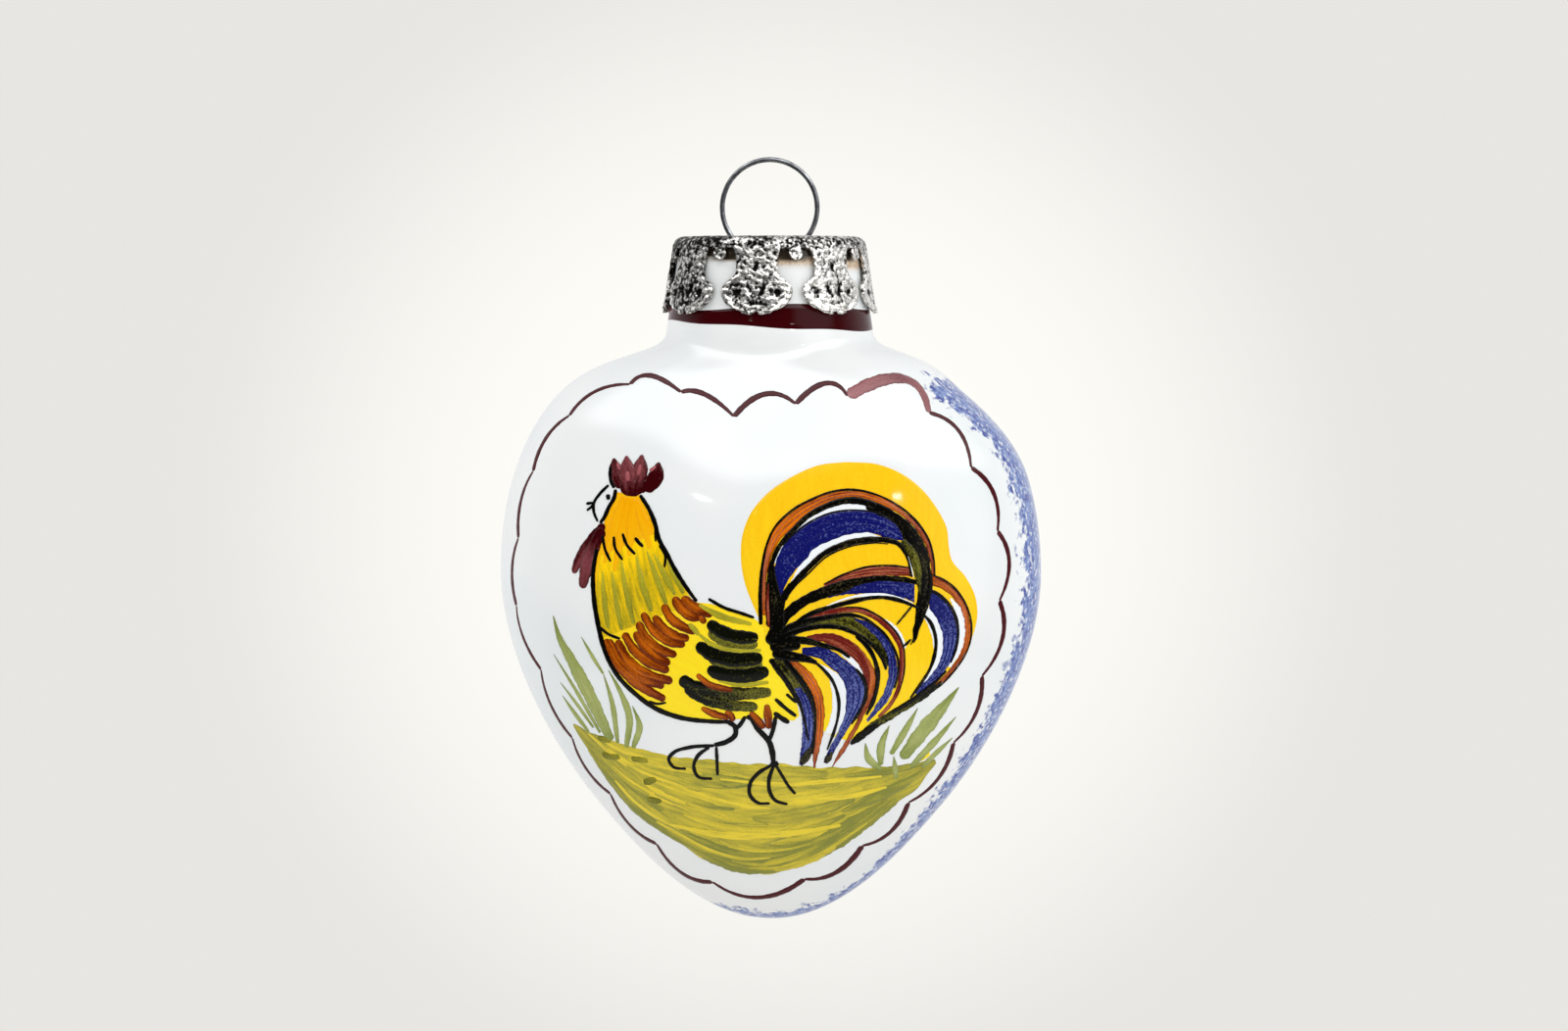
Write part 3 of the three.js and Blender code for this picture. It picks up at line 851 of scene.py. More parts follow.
# %% The yellow ground behind the tail
ground_left = [
    (548, 96), (430, 110), (300, 165), (190, 240), (115, 330), (75, 440), (70, 540), (85, 640), (125, 750),
    (165, 840), (200, 930), (240, 1000), (330, 1030), (395, 1100), (422, 1180), (432, 1260), (446, 1322),
    (500, 1352),
]
ground_right = [
    (566, 96), (690, 105), (800, 145), (900, 220), (970, 310), (1015, 400), (1025, 490), (1036, 540),
    (1100, 620), (1145, 710), (1155, 790), (1130, 900), (1090, 980), (1020, 1070), (940, 1140), (800, 1240),
    (690, 1305), (620, 1345), (556, 1372),
]
GROUND_LOAD = (0.5, 0.6, 0.55, 0.45, 0.35, 0.2)
wash("yellow", tail_card(*ground_left), tail_card(*ground_right), GROUND_LOAD)
print("tail ground from", len(ground_left), "and", len(ground_right), "points")

# %% How a band and its hair lines are laid
BAND_ROWS = 90
BAND_COLUMNS = 14
RAGGED = 0.03
# The loads of the white and of the black, from end to end.
WHITE = (0.5, 0.5)
DARK = (1.2, 1.02, 1.1)
# The pot, the width in millimetres and the load of the hair lines along a band.
HAIRS = {
    "brown": ("russet", 0.17, (0.7, 0.35, 0.8, 0.4, 0.7)),
    "russet": ("russet", 0.2, (1.2, 0.8, 1.3, 0.9, 1.2)),
    "cobalt": ("cobalt", 0.2, (1.3, 1, 1.2, 0.8, 0.9)),
}
HAIR_PRESS = (0.5, 1, 0.6, 1, 0.7, 1, 0.5)
# Where the hair lines lie, as shares of the way from edge to edge, and where they start and end.
HAIR_PLACES = (0.3, 0.62)
HAIR_SHARES = np.linspace(0.02, 0.98, 24)
HAIR_RISE = 0.5


def lay_bands(bands):
    """Washes rows of pot, load, layer and two edges on the tail's card, then draws their hair lines."""
    for pot, load, layer, *edges in bands:
        first, second = (tail_card(*edge) for edge in edges)
        wash(pot, first, second, load, layer, BAND_ROWS, BAND_COLUMNS, RAGGED)
    for band, load, layer, *edges in bands:
        if band in HAIRS:
            pot, width, dark = HAIRS[band]
            first, second = (smooth_path(tail_card(*edge), HAIR_SHARES) for edge in edges)
            for place in HAIR_PLACES:
                path = first * (1 - place) + second * place
                stroke(pot, path, width, HAIR_PRESS, dark, layer + HAIR_RISE)
    print(len(bands), "bands")


# %% Bands of the top feather
lay_bands([
    ("brown", (0.45, 0.2, 0.3, 0.35, 0.55), 2, [
        (166, 800), (164, 700), (166, 620), (176, 545), (198, 460), (228, 398), (272, 350), (330, 305),
        (400, 268), (470, 240), (540, 227), (610, 229), (690, 249), (760, 280), (830, 330), (890, 392),
        (930, 460), (950, 540), (957, 620)], [
        (196, 800), (190, 700), (190, 620), (204, 550), (232, 482), (268, 435), (320, 385), (365, 345),
        (430, 305), (490, 277), (550, 262), (620, 265), (690, 283), (760, 312), (820, 352), (875, 408),
        (915, 475), (936, 550), (942, 625)]),
    ("white", WHITE, 2, [
        (222, 560), (244, 496), (276, 446), (322, 396), (362, 354), (400, 330), (450, 306), (500, 286),
        (550, 276), (600, 280), (700, 316)], [
        (236, 562), (262, 504), (300, 456), (340, 416), (372, 392), (410, 372), (450, 352), (500, 338),
        (560, 330), (620, 330), (700, 340)]),
    ("white", WHITE, 2, [
        (300, 642), (345, 562), (375, 526), (400, 496), (450, 460), (500, 440), (560, 420), (620, 410),
        (712, 438)], [
        (306, 660), (336, 625), (372, 590), (408, 556), (456, 512), (504, 490), (562, 467), (622, 455),
        (740, 452)]),
    ("cobalt", (1.2, 1.1, 1.05, 1.1, 1), 3, [
        (228, 660), (225, 590), (240, 530), (264, 480), (300, 440), (345, 400), (400, 364), (450, 341),
        (500, 326), (560, 318), (640, 320), (700, 333), (750, 358), (790, 390), (830, 450)], [
        (256, 715), (282, 648), (312, 600), (345, 566), (375, 535), (392, 505), (430, 480), (480, 456),
        (540, 435), (600, 421), (650, 419), (700, 430), (740, 445), (780, 452), (834, 460)]),
    ("black", DARK, 5, [
        (640, 268), (700, 286), (760, 314), (820, 354), (875, 410), (915, 478), (934, 550), (938, 640),
        (925, 710), (905, 790), (885, 860), (866, 908)], [
        (642, 312), (700, 338), (755, 364), (795, 402), (815, 450), (838, 500), (864, 560), (884, 620),
        (880, 690), (872, 760), (866, 820), (858, 870), (858, 910)]),
])

# %% Bands of the second feather, which curls round the right
lay_bands([
    ("russet", (0.6, 0.4, 0.5, 0.8), 2, [
        (450, 655), (500, 630), (550, 608), (600, 590), (650, 578), (700, 573), (760, 572), (845, 580)], [
        (450, 672), (500, 655), (550, 638), (600, 628), (650, 622), (700, 618), (760, 616), (845, 618)]),
    ("cobalt", (1.2, 1.1, 1, 0.95), 3, [
        (470, 712), (530, 680), (580, 658), (640, 644), (700, 638), (780, 640), (866, 652)], [
        (472, 718), (530, 704), (580, 700), (640, 697), (700, 696), (760, 705), (820, 720), (866, 738)]),
    ("black", DARK, 5, [
        (235, 870), (262, 790), (300, 742), (350, 712), (400, 686), (450, 664), (500, 648), (560, 632),
        (640, 620), (720, 615), (800, 618), (885, 638)], [
        (255, 890), (295, 815), (335, 778), (380, 748), (430, 727), (480, 712), (520, 702), (560, 684),
        (600, 664), (660, 646), (720, 640), (800, 644), (885, 658)]),
    ("brown", (0.6, 0.35, 0.2, 0.2, 0.4), 2, [
        (940, 612), (990, 632), (1040, 668), (1080, 718), (1106, 770), (1121, 830), (1121, 890),
        (1106, 950), (1080, 1000), (1040, 1052), (990, 1106), (930, 1152), (880, 1186), (740, 1256)], [
        (940, 655), (990, 676), (1030, 706), (1060, 746), (1080, 790), (1090, 850), (1088, 910),
        (1075, 960), (1050, 1010), (1010, 1060), (960, 1110), (900, 1155), (830, 1200), (740, 1250)]),
    ("white", WHITE, 2, [
        (905, 802), (925, 840), (942, 885), (950, 930), (958, 975), (946, 1018), (918, 1066), (885, 1112),
        (862, 1148)], [
        (932, 752), (970, 800), (1000, 850), (1010, 910), (1004, 970), (984, 1025), (952, 1070),
        (910, 1115), (866, 1152)]),
    ("white", WHITE, 2, [
        (1026, 722), (1044, 760), (1055, 810), (1058, 860), (1054, 910), (1042, 965), (1018, 1030)], [
        (1034, 718), (1070, 756), (1088, 800), (1096, 850), (1094, 900), (1078, 960), (1030, 1036)]),
    ("cobalt", (1.1, 0.85, 0.72, 0.72, 0.9), 3, [
        (930, 690), (970, 704), (1010, 736), (1042, 788), (1058, 840), (1058, 900), (1045, 960),
        (1027, 1012), (1000, 1056), (960, 1092), (920, 1124), (876, 1160)], [
        (932, 764), (955, 794), (975, 832), (990, 872), (995, 922), (990, 972), (975, 1017), (950, 1057),
        (920, 1092), (890, 1122), (866, 1152)]),
    ("wing green", (1, 0.95, 0.8, 0.85, 1.1), 4, [
        (988, 1092), (920, 1140), (860, 1178), (800, 1212), (740, 1243), (690, 1272), (640, 1308),
        (600, 1350), (570, 1380)], [
        (990, 1110), (930, 1164), (870, 1204), (800, 1246), (740, 1284), (690, 1312), (650, 1345),
        (610, 1375), (574, 1390)]),
])

# %% Bands of the three lower feathers
lay_bands([
    ("white", WHITE, 2, [
        (730, 812), (770, 838), (805, 880), (828, 940)], [
        (732, 820), (765, 858), (792, 905), (822, 950)]),
    ("wing green", (1.1, 0.8, 0.75, 0.85, 1), 2, [
        (280, 872), (350, 838), (420, 812), (500, 802), (570, 800), (640, 830), (700, 880), (740, 940),
        (752, 1010)], [
        (290, 892), (380, 856), (450, 846), (520, 850), (580, 870), (640, 905), (680, 940), (715, 990),
        (738, 1040)]),
    ("cobalt", (1.05, 0.85, 0.7, 0.55, 0.5), 3, [
        (590, 808), (640, 822), (700, 860), (745, 910), (775, 970), (786, 1030), (782, 1090), (766, 1140),
        (736, 1195), (650, 1285)], [
        (592, 816), (660, 866), (710, 920), (738, 970), (746, 1030), (742, 1090), (728, 1140), (700, 1190),
        (645, 1275)]),
    ("brown", (0.6, 0.35, 0.3, 0.6, 0.7, 0.35, 0.3, 0.6), 2, [
        (600, 930), (645, 980), (675, 1030), (688, 1080), (686, 1130), (668, 1190), (640, 1245),
        (612, 1300), (585, 1350), (560, 1395), (530, 1440), (490, 1490)], [
        (605, 945), (632, 990), (648, 1040), (654, 1080), (650, 1130), (640, 1180), (620, 1235),
        (590, 1300), (562, 1350), (532, 1400), (506, 1450), (486, 1492)]),
    ("russet", (0.85, 1, 0.9, 0.7, 0.9, 1.1), 3, [
        (370, 895), (410, 882), (460, 878), (510, 884), (560, 904), (600, 934), (632, 975), (652, 1020),
        (662, 1070), (658, 1120), (642, 1180), (612, 1240)], [
        (380, 907), (430, 914), (480, 932), (520, 952), (560, 974), (600, 1010), (625, 1050), (638, 1090),
        (640, 1130), (630, 1180), (606, 1242)]),
    ("white", WHITE, 2, [
        (432, 1018), (464, 1060), (480, 1108), (488, 1160), (489, 1210), (482, 1260), (456, 1335)], [
        (470, 1036), (520, 1070), (556, 1115), (564, 1165), (562, 1215), (550, 1262), (504, 1345)]),
    ("white", WHITE, 2, [
        (510, 945), (560, 972), (605, 1015), (642, 1075)], [
        (514, 955), (550, 996), (598, 1040), (638, 1080)]),
    ("cobalt", (1.15, 0.85, 0.8, 0.62, 0.58, 0.9), 3, [
        (350, 945), (400, 940), (450, 945), (500, 965), (550, 1000), (600, 1045), (632, 1090), (642, 1130),
        (632, 1190), (606, 1240), (575, 1290), (540, 1350), (510, 1400), (480, 1450), (466, 1476)], [
        (350, 978), (400, 986), (440, 1000), (480, 1035), (520, 1070), (545, 1110), (552, 1160),
        (552, 1210), (543, 1260), (520, 1320), (490, 1380), (465, 1430), (450, 1470)]),
    ("wing green", (1, 0.75, 0.65, 0.75), 2, [
        (212, 992), (260, 1062), (300, 1120), (335, 1180), (350, 1240)], [
        (275, 998), (328, 1042), (372, 1100), (398, 1170), (404, 1230)]),
    ("cobalt", (0.9, 0.65, 0.55, 0.6, 1), 3, [
        (318, 1130), (345, 1205), (352, 1270), (352, 1340), (346, 1410), (338, 1478)], [
        (345, 1125), (388, 1190), (402, 1250), (404, 1320), (394, 1400), (352, 1486)]),
    ("brown", (0.4, 0.2, 0.2, 0.25, 0.6), 2, [
        (288, 1000), (334, 1060), (374, 1112), (401, 1170), (412, 1230), (413, 1300), (407, 1370),
        (401, 1440), (403, 1496)], [
        (320, 1000), (380, 1046), (420, 1100), (445, 1160), (454, 1220), (452, 1290), (443, 1360),
        (428, 1420), (412, 1494)]),
])

# %% Lines that hold the top feather
# How hard the brush is pressed, from end to end.
FINE = (0.6, 1, 0.8, 1, 0.7, 0.9, 0.4)
FROM_KNOT = (1, 0.9, 0.7, 0.5, 0.38, 0.33, 0.33, 0.3)
TO_POINT = (0.4, 0.9, 1, 1, 0.8, 0.5, 0.15)
BLOB = (0.9, 1, 0.7)


def black(width, press, points):
    """A row for one of the black lines that hold the feathers."""
    return "black", width, press, DARK, 5, points


paint(tail_card, [
    ("russet", 0.4, (0.5, 1, 0.8, 0.3), (1, 0.6, 0.9), 6, [(200, 850), (196, 790), (194, 720), (198, 650)]),
    black(0.2, FINE, [
        (264, 478), (300, 438), (345, 398), (400, 362), (450, 339), (500, 324), (560, 316), (640, 318),
        (700, 331), (750, 356), (790, 388)]),
    black(0.22, FINE, [
        (300, 690), (332, 650), (374, 612), (420, 566), (464, 528), (514, 502), (572, 482), (632, 470),
        (692, 466), (745, 471)]),
    black(0.27, (1.8, 1.6, 1.2, 0.9, 1, 0.8, 1, 0.7, 1, 0.8, 0.6), [
        (163, 840), (160, 700), (164, 620), (174, 545), (196, 458), (226, 395), (270, 346), (330, 300),
        (400, 264), (470, 236), (540, 223), (610, 225), (690, 245), (760, 276), (832, 326), (893, 390),
        (933, 458), (953, 540), (958, 620)]),
    black(0.92, (1, 0.8, 0.6, 0.6, 0.6, 0.7, 0.8, 0.9, 1), [
        (205, 850), (198, 720), (202, 620), (214, 560), (240, 494), (274, 446), (322, 396), (372, 348),
        (436, 310), (500, 284), (560, 272), (620, 275), (690, 298)]),
    black(0.71, (0.9, 1, 0.9, 0.9, 1, 1, 0.9, 0.7, 0.5), [
        (268, 730), (288, 688), (312, 652), (352, 608), (402, 558), (452, 514), (502, 488), (562, 466),
        (622, 454), (682, 450), (742, 453), (792, 470), (820, 502), (840, 548), (852, 622)]),
    ("wing green", 1.1, TO_POINT, (0.9, 0.7, 0.9), 6, [
        (808, 452), (846, 500), (872, 560), (884, 630), (890, 700)]),
    ("white", 0.22, (0.3, 1, 0.3), WHITE, 5, [(832, 512), (847, 568), (861, 624)]),
    black(0.61, TO_POINT, [(930, 570), (938, 650), (915, 760), (882, 855), (848, 932)]),
    black(0.49, FINE, [(900, 760), (885, 840), (868, 900), (860, 922)]),
])

# %% Lines that hold the second feather
paint(tail_card, [
    black(0.24, FINE, [(450, 655), (550, 606), (650, 575), (760, 569), (845, 578)]),
    black(0.61, FINE, [
        (310, 842), (370, 800), (450, 768), (530, 746), (600, 729), (660, 717), (740, 716), (800, 729),
        (850, 748), (885, 764)]),
    ("white", 0.4, (0.1, 0.5, 0.6, 1, 0.8, 0.6, 0.2), WHITE, 4, [
        (440, 766), (520, 731), (600, 709), (650, 704), (720, 702), (790, 716), (860, 742)]),
    black(0.49, FINE, [
        (900, 788), (935, 825), (955, 870), (963, 920), (956, 980), (936, 1040), (905, 1092), (870, 1142),
        (845, 1175)]),
    black(0.24, FINE, [
        (942, 610), (992, 630), (1043, 666), (1083, 716), (1110, 770), (1124, 830), (1124, 890),
        (1108, 952), (1082, 1003), (1042, 1056), (992, 1110), (930, 1156)]),
    black(0.44, FINE, [
        (915, 676), (960, 692), (1002, 724), (1034, 762), (1055, 812), (1064, 862), (1061, 914),
        (1049, 964), (1030, 1014)]),
    black(0.61, (0.4, 0.8, 1, 0.9), [(1010, 1050), (960, 1100), (900, 1150), (830, 1200), (760, 1240)]),
    black(0.98, (0.4, 1, 1, 0.5), [(700, 1294), (650, 1325), (612, 1352), (575, 1384)]),
    ("black", 0.29, FINE, (0.7, 0.8), 5, [(855, 752), (820, 795), (782, 840)]),
    black(0.37, (0.5, 1, 0.3), [(850, 905), (830, 925), (812, 940)]),
])

# %% Lines that hold the lower feathers
paint(tail_card, [
    ("russet", 0.66, (0.6, 1, 1, 1, 0.9, 0.8, 0.6), (0.95, 0.8, 1, 0.85, 0.6), 4, [
        (330, 835), (400, 803), (470, 785), (550, 770), (610, 773), (670, 795), (730, 838), (775, 888),
        (803, 945), (808, 1010), (803, 1080), (785, 1150), (750, 1210), (700, 1262)]),
    black(0.24, FINE, [
        (550, 759), (620, 763), (690, 793), (750, 838), (792, 890), (815, 945), (820, 1010), (812, 1085),
        (790, 1155)]),
    black(0.92, FROM_KNOT, [
        (230, 890), (300, 850), (350, 830), (420, 814), (500, 800), (570, 794), (625, 806), (684, 842),
        (734, 888), (768, 942), (790, 1002), (790, 1062), (772, 1130)]),
    black(0.73, (1, 0.9, 0.8, 0.7, 0.6, 0.4), [
        (240, 900), (310, 876), (380, 855), (450, 847), (520, 852), (580, 872), (640, 907), (680, 942),
        (715, 992), (736, 1045)]),
    black(0.61, FINE, [
        (596, 890), (640, 928), (672, 975), (692, 1030), (698, 1080), (691, 1140), (675, 1192),
        (645, 1252)]),
    black(1.1, (1, 1, 0.8, 0.6, 0.45, 0.3), [
        (215, 915), (300, 908), (380, 915), (450, 935), (520, 955), (570, 990)]),
    black(1.4, (1, 1, 0.7, 0.35), [(215, 968), (300, 984), (370, 995), (420, 1014)]),
    black(0.44, FINE, [
        (405, 1005), (450, 1045), (490, 1095), (512, 1150), (520, 1200), (515, 1260), (500, 1320),
        (480, 1375), (466, 1412)]),
    black(0.5, FINE, [(596, 1040), (634, 1090), (645, 1135), (636, 1190), (610, 1242), (576, 1294)]),
    black(0.66, (1, 1, 1, 0.8, 0.6, 0.6, 0.7), [
        (270, 1000), (325, 1068), (366, 1125), (395, 1182), (409, 1240), (410, 1310), (404, 1370),
        (394, 1430)]),
    black(0.67, (1, 1, 0.9, 0.8, 0.5, 0.4, 0.3), [
        (206, 995), (242, 1047), (282, 1102), (312, 1152), (342, 1204), (357, 1258), (370, 1310),
        (380, 1370)]),
    ("black", 1.1, (0.3, 1, 0.6), (0.7, 0.9), 5, [(392, 1400), (372, 1440), (346, 1476)]),
    ("black", 0.85, (0.3, 1, 0.6), (0.7, 0.9), 5, [(490, 1420), (472, 1448), (458, 1470)]),
])

# %% The knot that the feathers spring from
paint(tail_card, [
    black(1.9, (1, 1, 0.9, 0.6, 0.3), [(236, 880), (232, 790), (226, 710), (214, 630), (216, 565)]),
    black(0.95, (1, 0.9, 0.6, 0.4), [(250, 800), (258, 740), (276, 690), (300, 650)]),
    black(1.7, BLOB, [(190, 885), (230, 915), (275, 935)]),
    black(1.4, BLOB, [(205, 945), (270, 935), (345, 935)]),
    black(1.5, BLOB, [(215, 855), (228, 905), (255, 965)]),
])

# %% [markdown]
# ## The bird
#
# The body is a yellow wash that deepens to orange at the hackle. Olive streaks fall down the neck,
# short brown strokes lie in tiers like breast feathers, and dark bars cross the wing. Each family is
# a list of paths with one brush, as a painter would take one brush and fill the family.

# %% The body's wash, and the olive that is dragged down the neck
body_front = [
    (268, 240), (255, 285), (225, 350), (206, 420), (192, 480), (180, 570), (183, 670), (200, 770),
    (230, 880), (275, 970), (345, 1045), (430, 1108), (530, 1142), (640, 1155), (760, 1152), (880, 1152),
    (985, 1158),
]
body_back = [
    (360, 250), (398, 312), (428, 385), (450, 450), (490, 530), (535, 605), (585, 680), (650, 690),
    (730, 722), (820, 748), (872, 790), (896, 850), (908, 910), (930, 965), (968, 1040), (992, 1090),
    (1003, 1140),
]
hackle_front = [(206, 500), (196, 570), (190, 640), (193, 710), (206, 775), (222, 825)]
hackle_back = [(424, 410), (456, 470), (488, 535), (520, 592), (548, 640), (575, 690)]
BODY_LOAD = (0.8, 0.9, 0.6, 0.35, 0.2, 0.15, 0.1, 0.05, 0.1)
HACKLE_LOAD = (0, 0.2, 0.45, 0.55, 0.5, 0.4)
wash("yellow", bird_card(*body_front), bird_card(*body_back), BODY_LOAD)
wash("hackle", bird_card(*hackle_front), bird_card(*hackle_back), HACKLE_LOAD, layer=2)
print("body from", len(body_front), "and", len(body_back), "points")

# %% Paths of the feather strokes
orange_hackle = [
    [(300, 262), (262, 380), (222, 530)], [(318, 268), (290, 400), (262, 560)],
    [(335, 270), (330, 390), (320, 500)], [(348, 275), (385, 390), (405, 470)],
]
olive_hackle = [
    [(215, 560), (222, 670), (240, 790)], [(252, 560), (270, 680), (292, 796)],
    [(290, 520), (312, 650), (340, 770)], [(350, 500), (375, 610), (412, 722)],
    [(392, 480), (430, 580), (470, 690)], [(420, 490), (470, 590), (506, 655)],
    [(448, 460), (492, 550), (540, 650)],
]
brown_breast = [
    [(500, 662), (528, 708), (568, 738), (612, 745)], [(532, 664), (572, 698), (622, 722), (656, 735)],
    [(458, 692), (486, 745), (536, 782), (590, 802)], [(420, 738), (460, 790), (515, 822), (562, 828)],
    [(374, 726), (422, 800), (482, 842), (546, 854)], [(356, 762), (392, 830), (444, 872), (512, 896)],
    [(344, 802), (384, 864), (434, 906), (486, 930)], [(300, 806), (342, 876), (402, 926), (482, 958)],
    [(272, 835), (320, 918), (400, 975), (496, 1000)], [(240, 832), (286, 920), (370, 992), (462, 1020)],
    [(228, 830), (262, 912), (340, 1000), (466, 1074)],
]
dark_wing_bars = [
    [(636, 764), (684, 798), (744, 820), (838, 826)], [(592, 850), (636, 884), (716, 910), (856, 908)],
    [(634, 950), (694, 972), (768, 980), (880, 958)],
]
fading_wing_bars = [
    [(545, 1022), (612, 1064), (702, 1092), (836, 1103)],
    [(524, 988), (580, 1022), (664, 1042), (764, 1050), (890, 1043)],
]
olive_wing_bars = [
    [(640, 800), (700, 840), (780, 858), (836, 850)], [(640, 905), (720, 935), (800, 938), (855, 930)],
]
thin_olive_bars = [
    [(600, 694), (680, 736), (812, 772)], [(600, 812), (660, 856), (760, 880), (850, 876)],
    [(680, 998), (780, 1012), (880, 1004)], [(560, 770), (580, 790), (600, 815)],
]
brown_thighs = [
    [(610, 1106), (660, 1130), (722, 1146)], [(706, 1120), (728, 1136), (738, 1160)],
    [(806, 1122), (830, 1150), (862, 1188)], [(872, 1092), (876, 1135), (880, 1190)],
    [(592, 972), (640, 1012), (736, 1036)], [(604, 740), (614, 752), (626, 768)],
]

# %% Brushes of the feather strokes
# How much wider or narrower than its brush a stroke may come out.
BRUSH_SPREAD = (0.88, 1.08)
# Each family lies half a layer above the one before it.
FIRST_LAYER = 2
FAMILY_RISE = 0.5
families = [
    ("yellow", 1.4, (0.5, 1, 0.3), (1, 0.8), orange_hackle),
    ("olive", 0.8, (0.25, 0.8, 1, 0.6), (0.2, 0.5, 0.65), olive_hackle),
    ("brown", 1.3, (0.75, 1, 1, 0.75), (0.75, 0.55, 1.05), brown_breast),
    ("wing green", 1.55, (0.8, 1, 1, 0.7), (0.75, 0.6, 0.45), olive_wing_bars),
    ("olive", 0.75, (0.4, 1, 0.9, 0.5), (0.3, 0.5, 0.3), thin_olive_bars),
    ("wing green", 1.75, (0.85, 1, 1, 0.85), (1.2, 1.1, 1.05), dark_wing_bars),
    ("wing green", 1.7, (0.9, 1, 0.9, 0.7), (1.2, 1, 0.8, 0.7), fading_wing_bars),
    ("brown", 0.95, (0.6, 1, 0.7), (0.45, 1.05), brown_thighs),
]
for number, (pot, width, press, load, paths) in enumerate(families):
    layer = FIRST_LAYER + FAMILY_RISE * number
    for points in paths:
        stroke(pot, bird_card(*points), width * random.uniform(*BRUSH_SPREAD), press, load, layer)
print(sum(len(row[-1]) for row in families), "feather strokes")

# %% Comb and wattle
PETAL = (0.15, 0.85, 1, 1, 0.9)
DROP = (0.7, 0.9, 1, 0.95, 0.5)
THIN_PAINT_AND_HIGHLIGHT_LOAD = (0.1, 0.3)
comb = [
    ("oxblood", 2.5, BLOB, (1.1, 1.2), 3, [(285, 205), (335, 218), (400, 205)]),
    ("oxblood", 1.8, PETAL, (0.85, 0.8, 1.1), 4, [(260, 108), (270, 170), (296, 225)]),
    ("oxblood", 2.0, PETAL, (0.6, 0.65, 1.1), 5, [(311, 98), (314, 175), (320, 258)]),
    ("oxblood", 2.0, PETAL, (0.7, 0.75, 1.1), 4, [(373, 94), (362, 170), (350, 250)]),
    ("oxblood", 1.9, PETAL, (0.9, 1.1, 1.2), 5, [(441, 124), (424, 190), (380, 236)]),
]
# Pale dabs in the middle of each petal: a painted highlight of the glaze's sheen, where the paint also lies
# thin.
petal_thin_paint_and_highlights = [
    (0.42, [(275, 124), (284, 154)]), (0.5, [(315, 158), (318, 200)]), (0.45, [(368, 132), (358, 176)]),
    (0.4, [(430, 140), (404, 160)]),
]
wattle = [
    ("oxblood", 1.4, DROP, (1.2, 0.85, 0.75), 3, [(222, 372), (160, 450), (118, 520), (98, 568)]),
    ("oxblood", 1.8, DROP, (1.2, 0.7, 0.7), 4, [(216, 388), (180, 462), (150, 550), (133, 628)]),
]
paint(bird_card, comb)
# The pale dabs on the petals are painted highlights, with thinner paint under them.
paint(bird_card, [("oxblood", width, PETAL, THIN_PAINT_AND_HIGHLIGHT_LOAD, 6, points) for width, points in petal_thin_paint_and_highlights])
paint(bird_card, wattle)

# %% Head, outline, ticks and legs in black
BOLD = (0.8, 1, 0.9, 1, 0.7)
FULL = (1.3, 1.2, 1.3)
# A width below is the brush's tip at rest, which spreads by this much when it is pressed.
TIP_SPREAD = 1.3
head_lines = [
    (0.3, [(240, 215), (205, 250), (180, 290), (180, 320), (196, 362)]),
    (0.4, [(268, 232), (262, 265), (240, 305), (222, 345), (205, 368)]),
    (0.36, [(248, 140), (247, 190), (262, 228)]), (0.42, [(236, 252), (239, 275)]),
    (0.26, [(150, 290), (166, 288), (182, 288)]), (0.26, [(152, 317), (167, 306), (180, 294)]),
]
body_lines = [
    (0.42, [
        (365, 255), (400, 310), (425, 370), (440, 430), (470, 485), (500, 545), (540, 610), (592, 682)]),
    (0.22, [(430, 378), (426, 410), (428, 442)]), (0.24, [(442, 455), (466, 500), (463, 545)]),
    (0.5, [
        (193, 468), (178, 560), (180, 660), (195, 760), (225, 880), (270, 970), (340, 1045), (430, 1110),
        (530, 1146), (640, 1160), (735, 1163)]),
    (0.24, [(400, 1080), (435, 1090), (470, 1085)]), (0.3, [(200, 780), (240, 812), (286, 830)]),
    (0.32, [(638, 670), (700, 705), (770, 728), (822, 746)]),
]
ticks = [
    (0.3, [(215, 415), (225, 470), (248, 522)]), (0.3, [(260, 420), (265, 465), (296, 516)]),
    (0.3, [(295, 408), (310, 450), (346, 493)]), (0.34, [(345, 425), (360, 445), (378, 462)]),
    (0.38, [(905, 1070), (950, 1110), (990, 1140)]), (0.3, [(950, 1050), (970, 1068), (990, 1085)]),
    (0.5, [(900, 1125), (935, 1150), (962, 1166)]),
]
left_leg = [
    (0.5, [(712, 1160), (745, 1182), (746, 1214), (715, 1240), (660, 1256)]),
    (0.4, [(787, 1140), (765, 1174), (748, 1192)]),
    (0.36, [(662, 1257), (560, 1265), (500, 1285), (480, 1310), (496, 1340), (550, 1350)]),
    (0.36, [(642, 1263), (595, 1300), (580, 1340), (596, 1380), (655, 1390)]),
    (0.32, [(670, 1262), (673, 1320), (675, 1376)]),
]
right_leg = [
    (0.56, [(790, 1140), (805, 1146), (840, 1195), (880, 1240), (895, 1290), (898, 1332)]),
    (0.75, [(896, 1318), (902, 1330), (910, 1344)]),
    (0.42, [(908, 1140), (895, 1200), (882, 1238)]),
    (0.38, [(896, 1332), (835, 1370), (805, 1410), (805, 1455), (835, 1485), (885, 1488)]),
    (0.38, [(900, 1335), (880, 1400), (885, 1445), (905, 1475), (956, 1492)]),
    (0.32, [(904, 1328), (935, 1380), (960, 1420), (986, 1451)]),
]
for lines in (head_lines, body_lines, ticks, left_leg, right_leg):
    paint(bird_card, [("black", TIP_SPREAD * width, BOLD, FULL, 5, points) for width, points in lines])

# %% [markdown]
# ## The ground and the grass
#
# The bird stands on a mound in yellow and olive, brushed to and fro in long curved streaks. The
# streaks are drawn from the mound's own edges: each lies at a share of the way from the upper edge
# to the lower one, so it bends as the mound does. A seeded generator picks shares and lengths. The
# darker lower edge, the olive dabs and a few bright streaks that a wet brush left come on top.

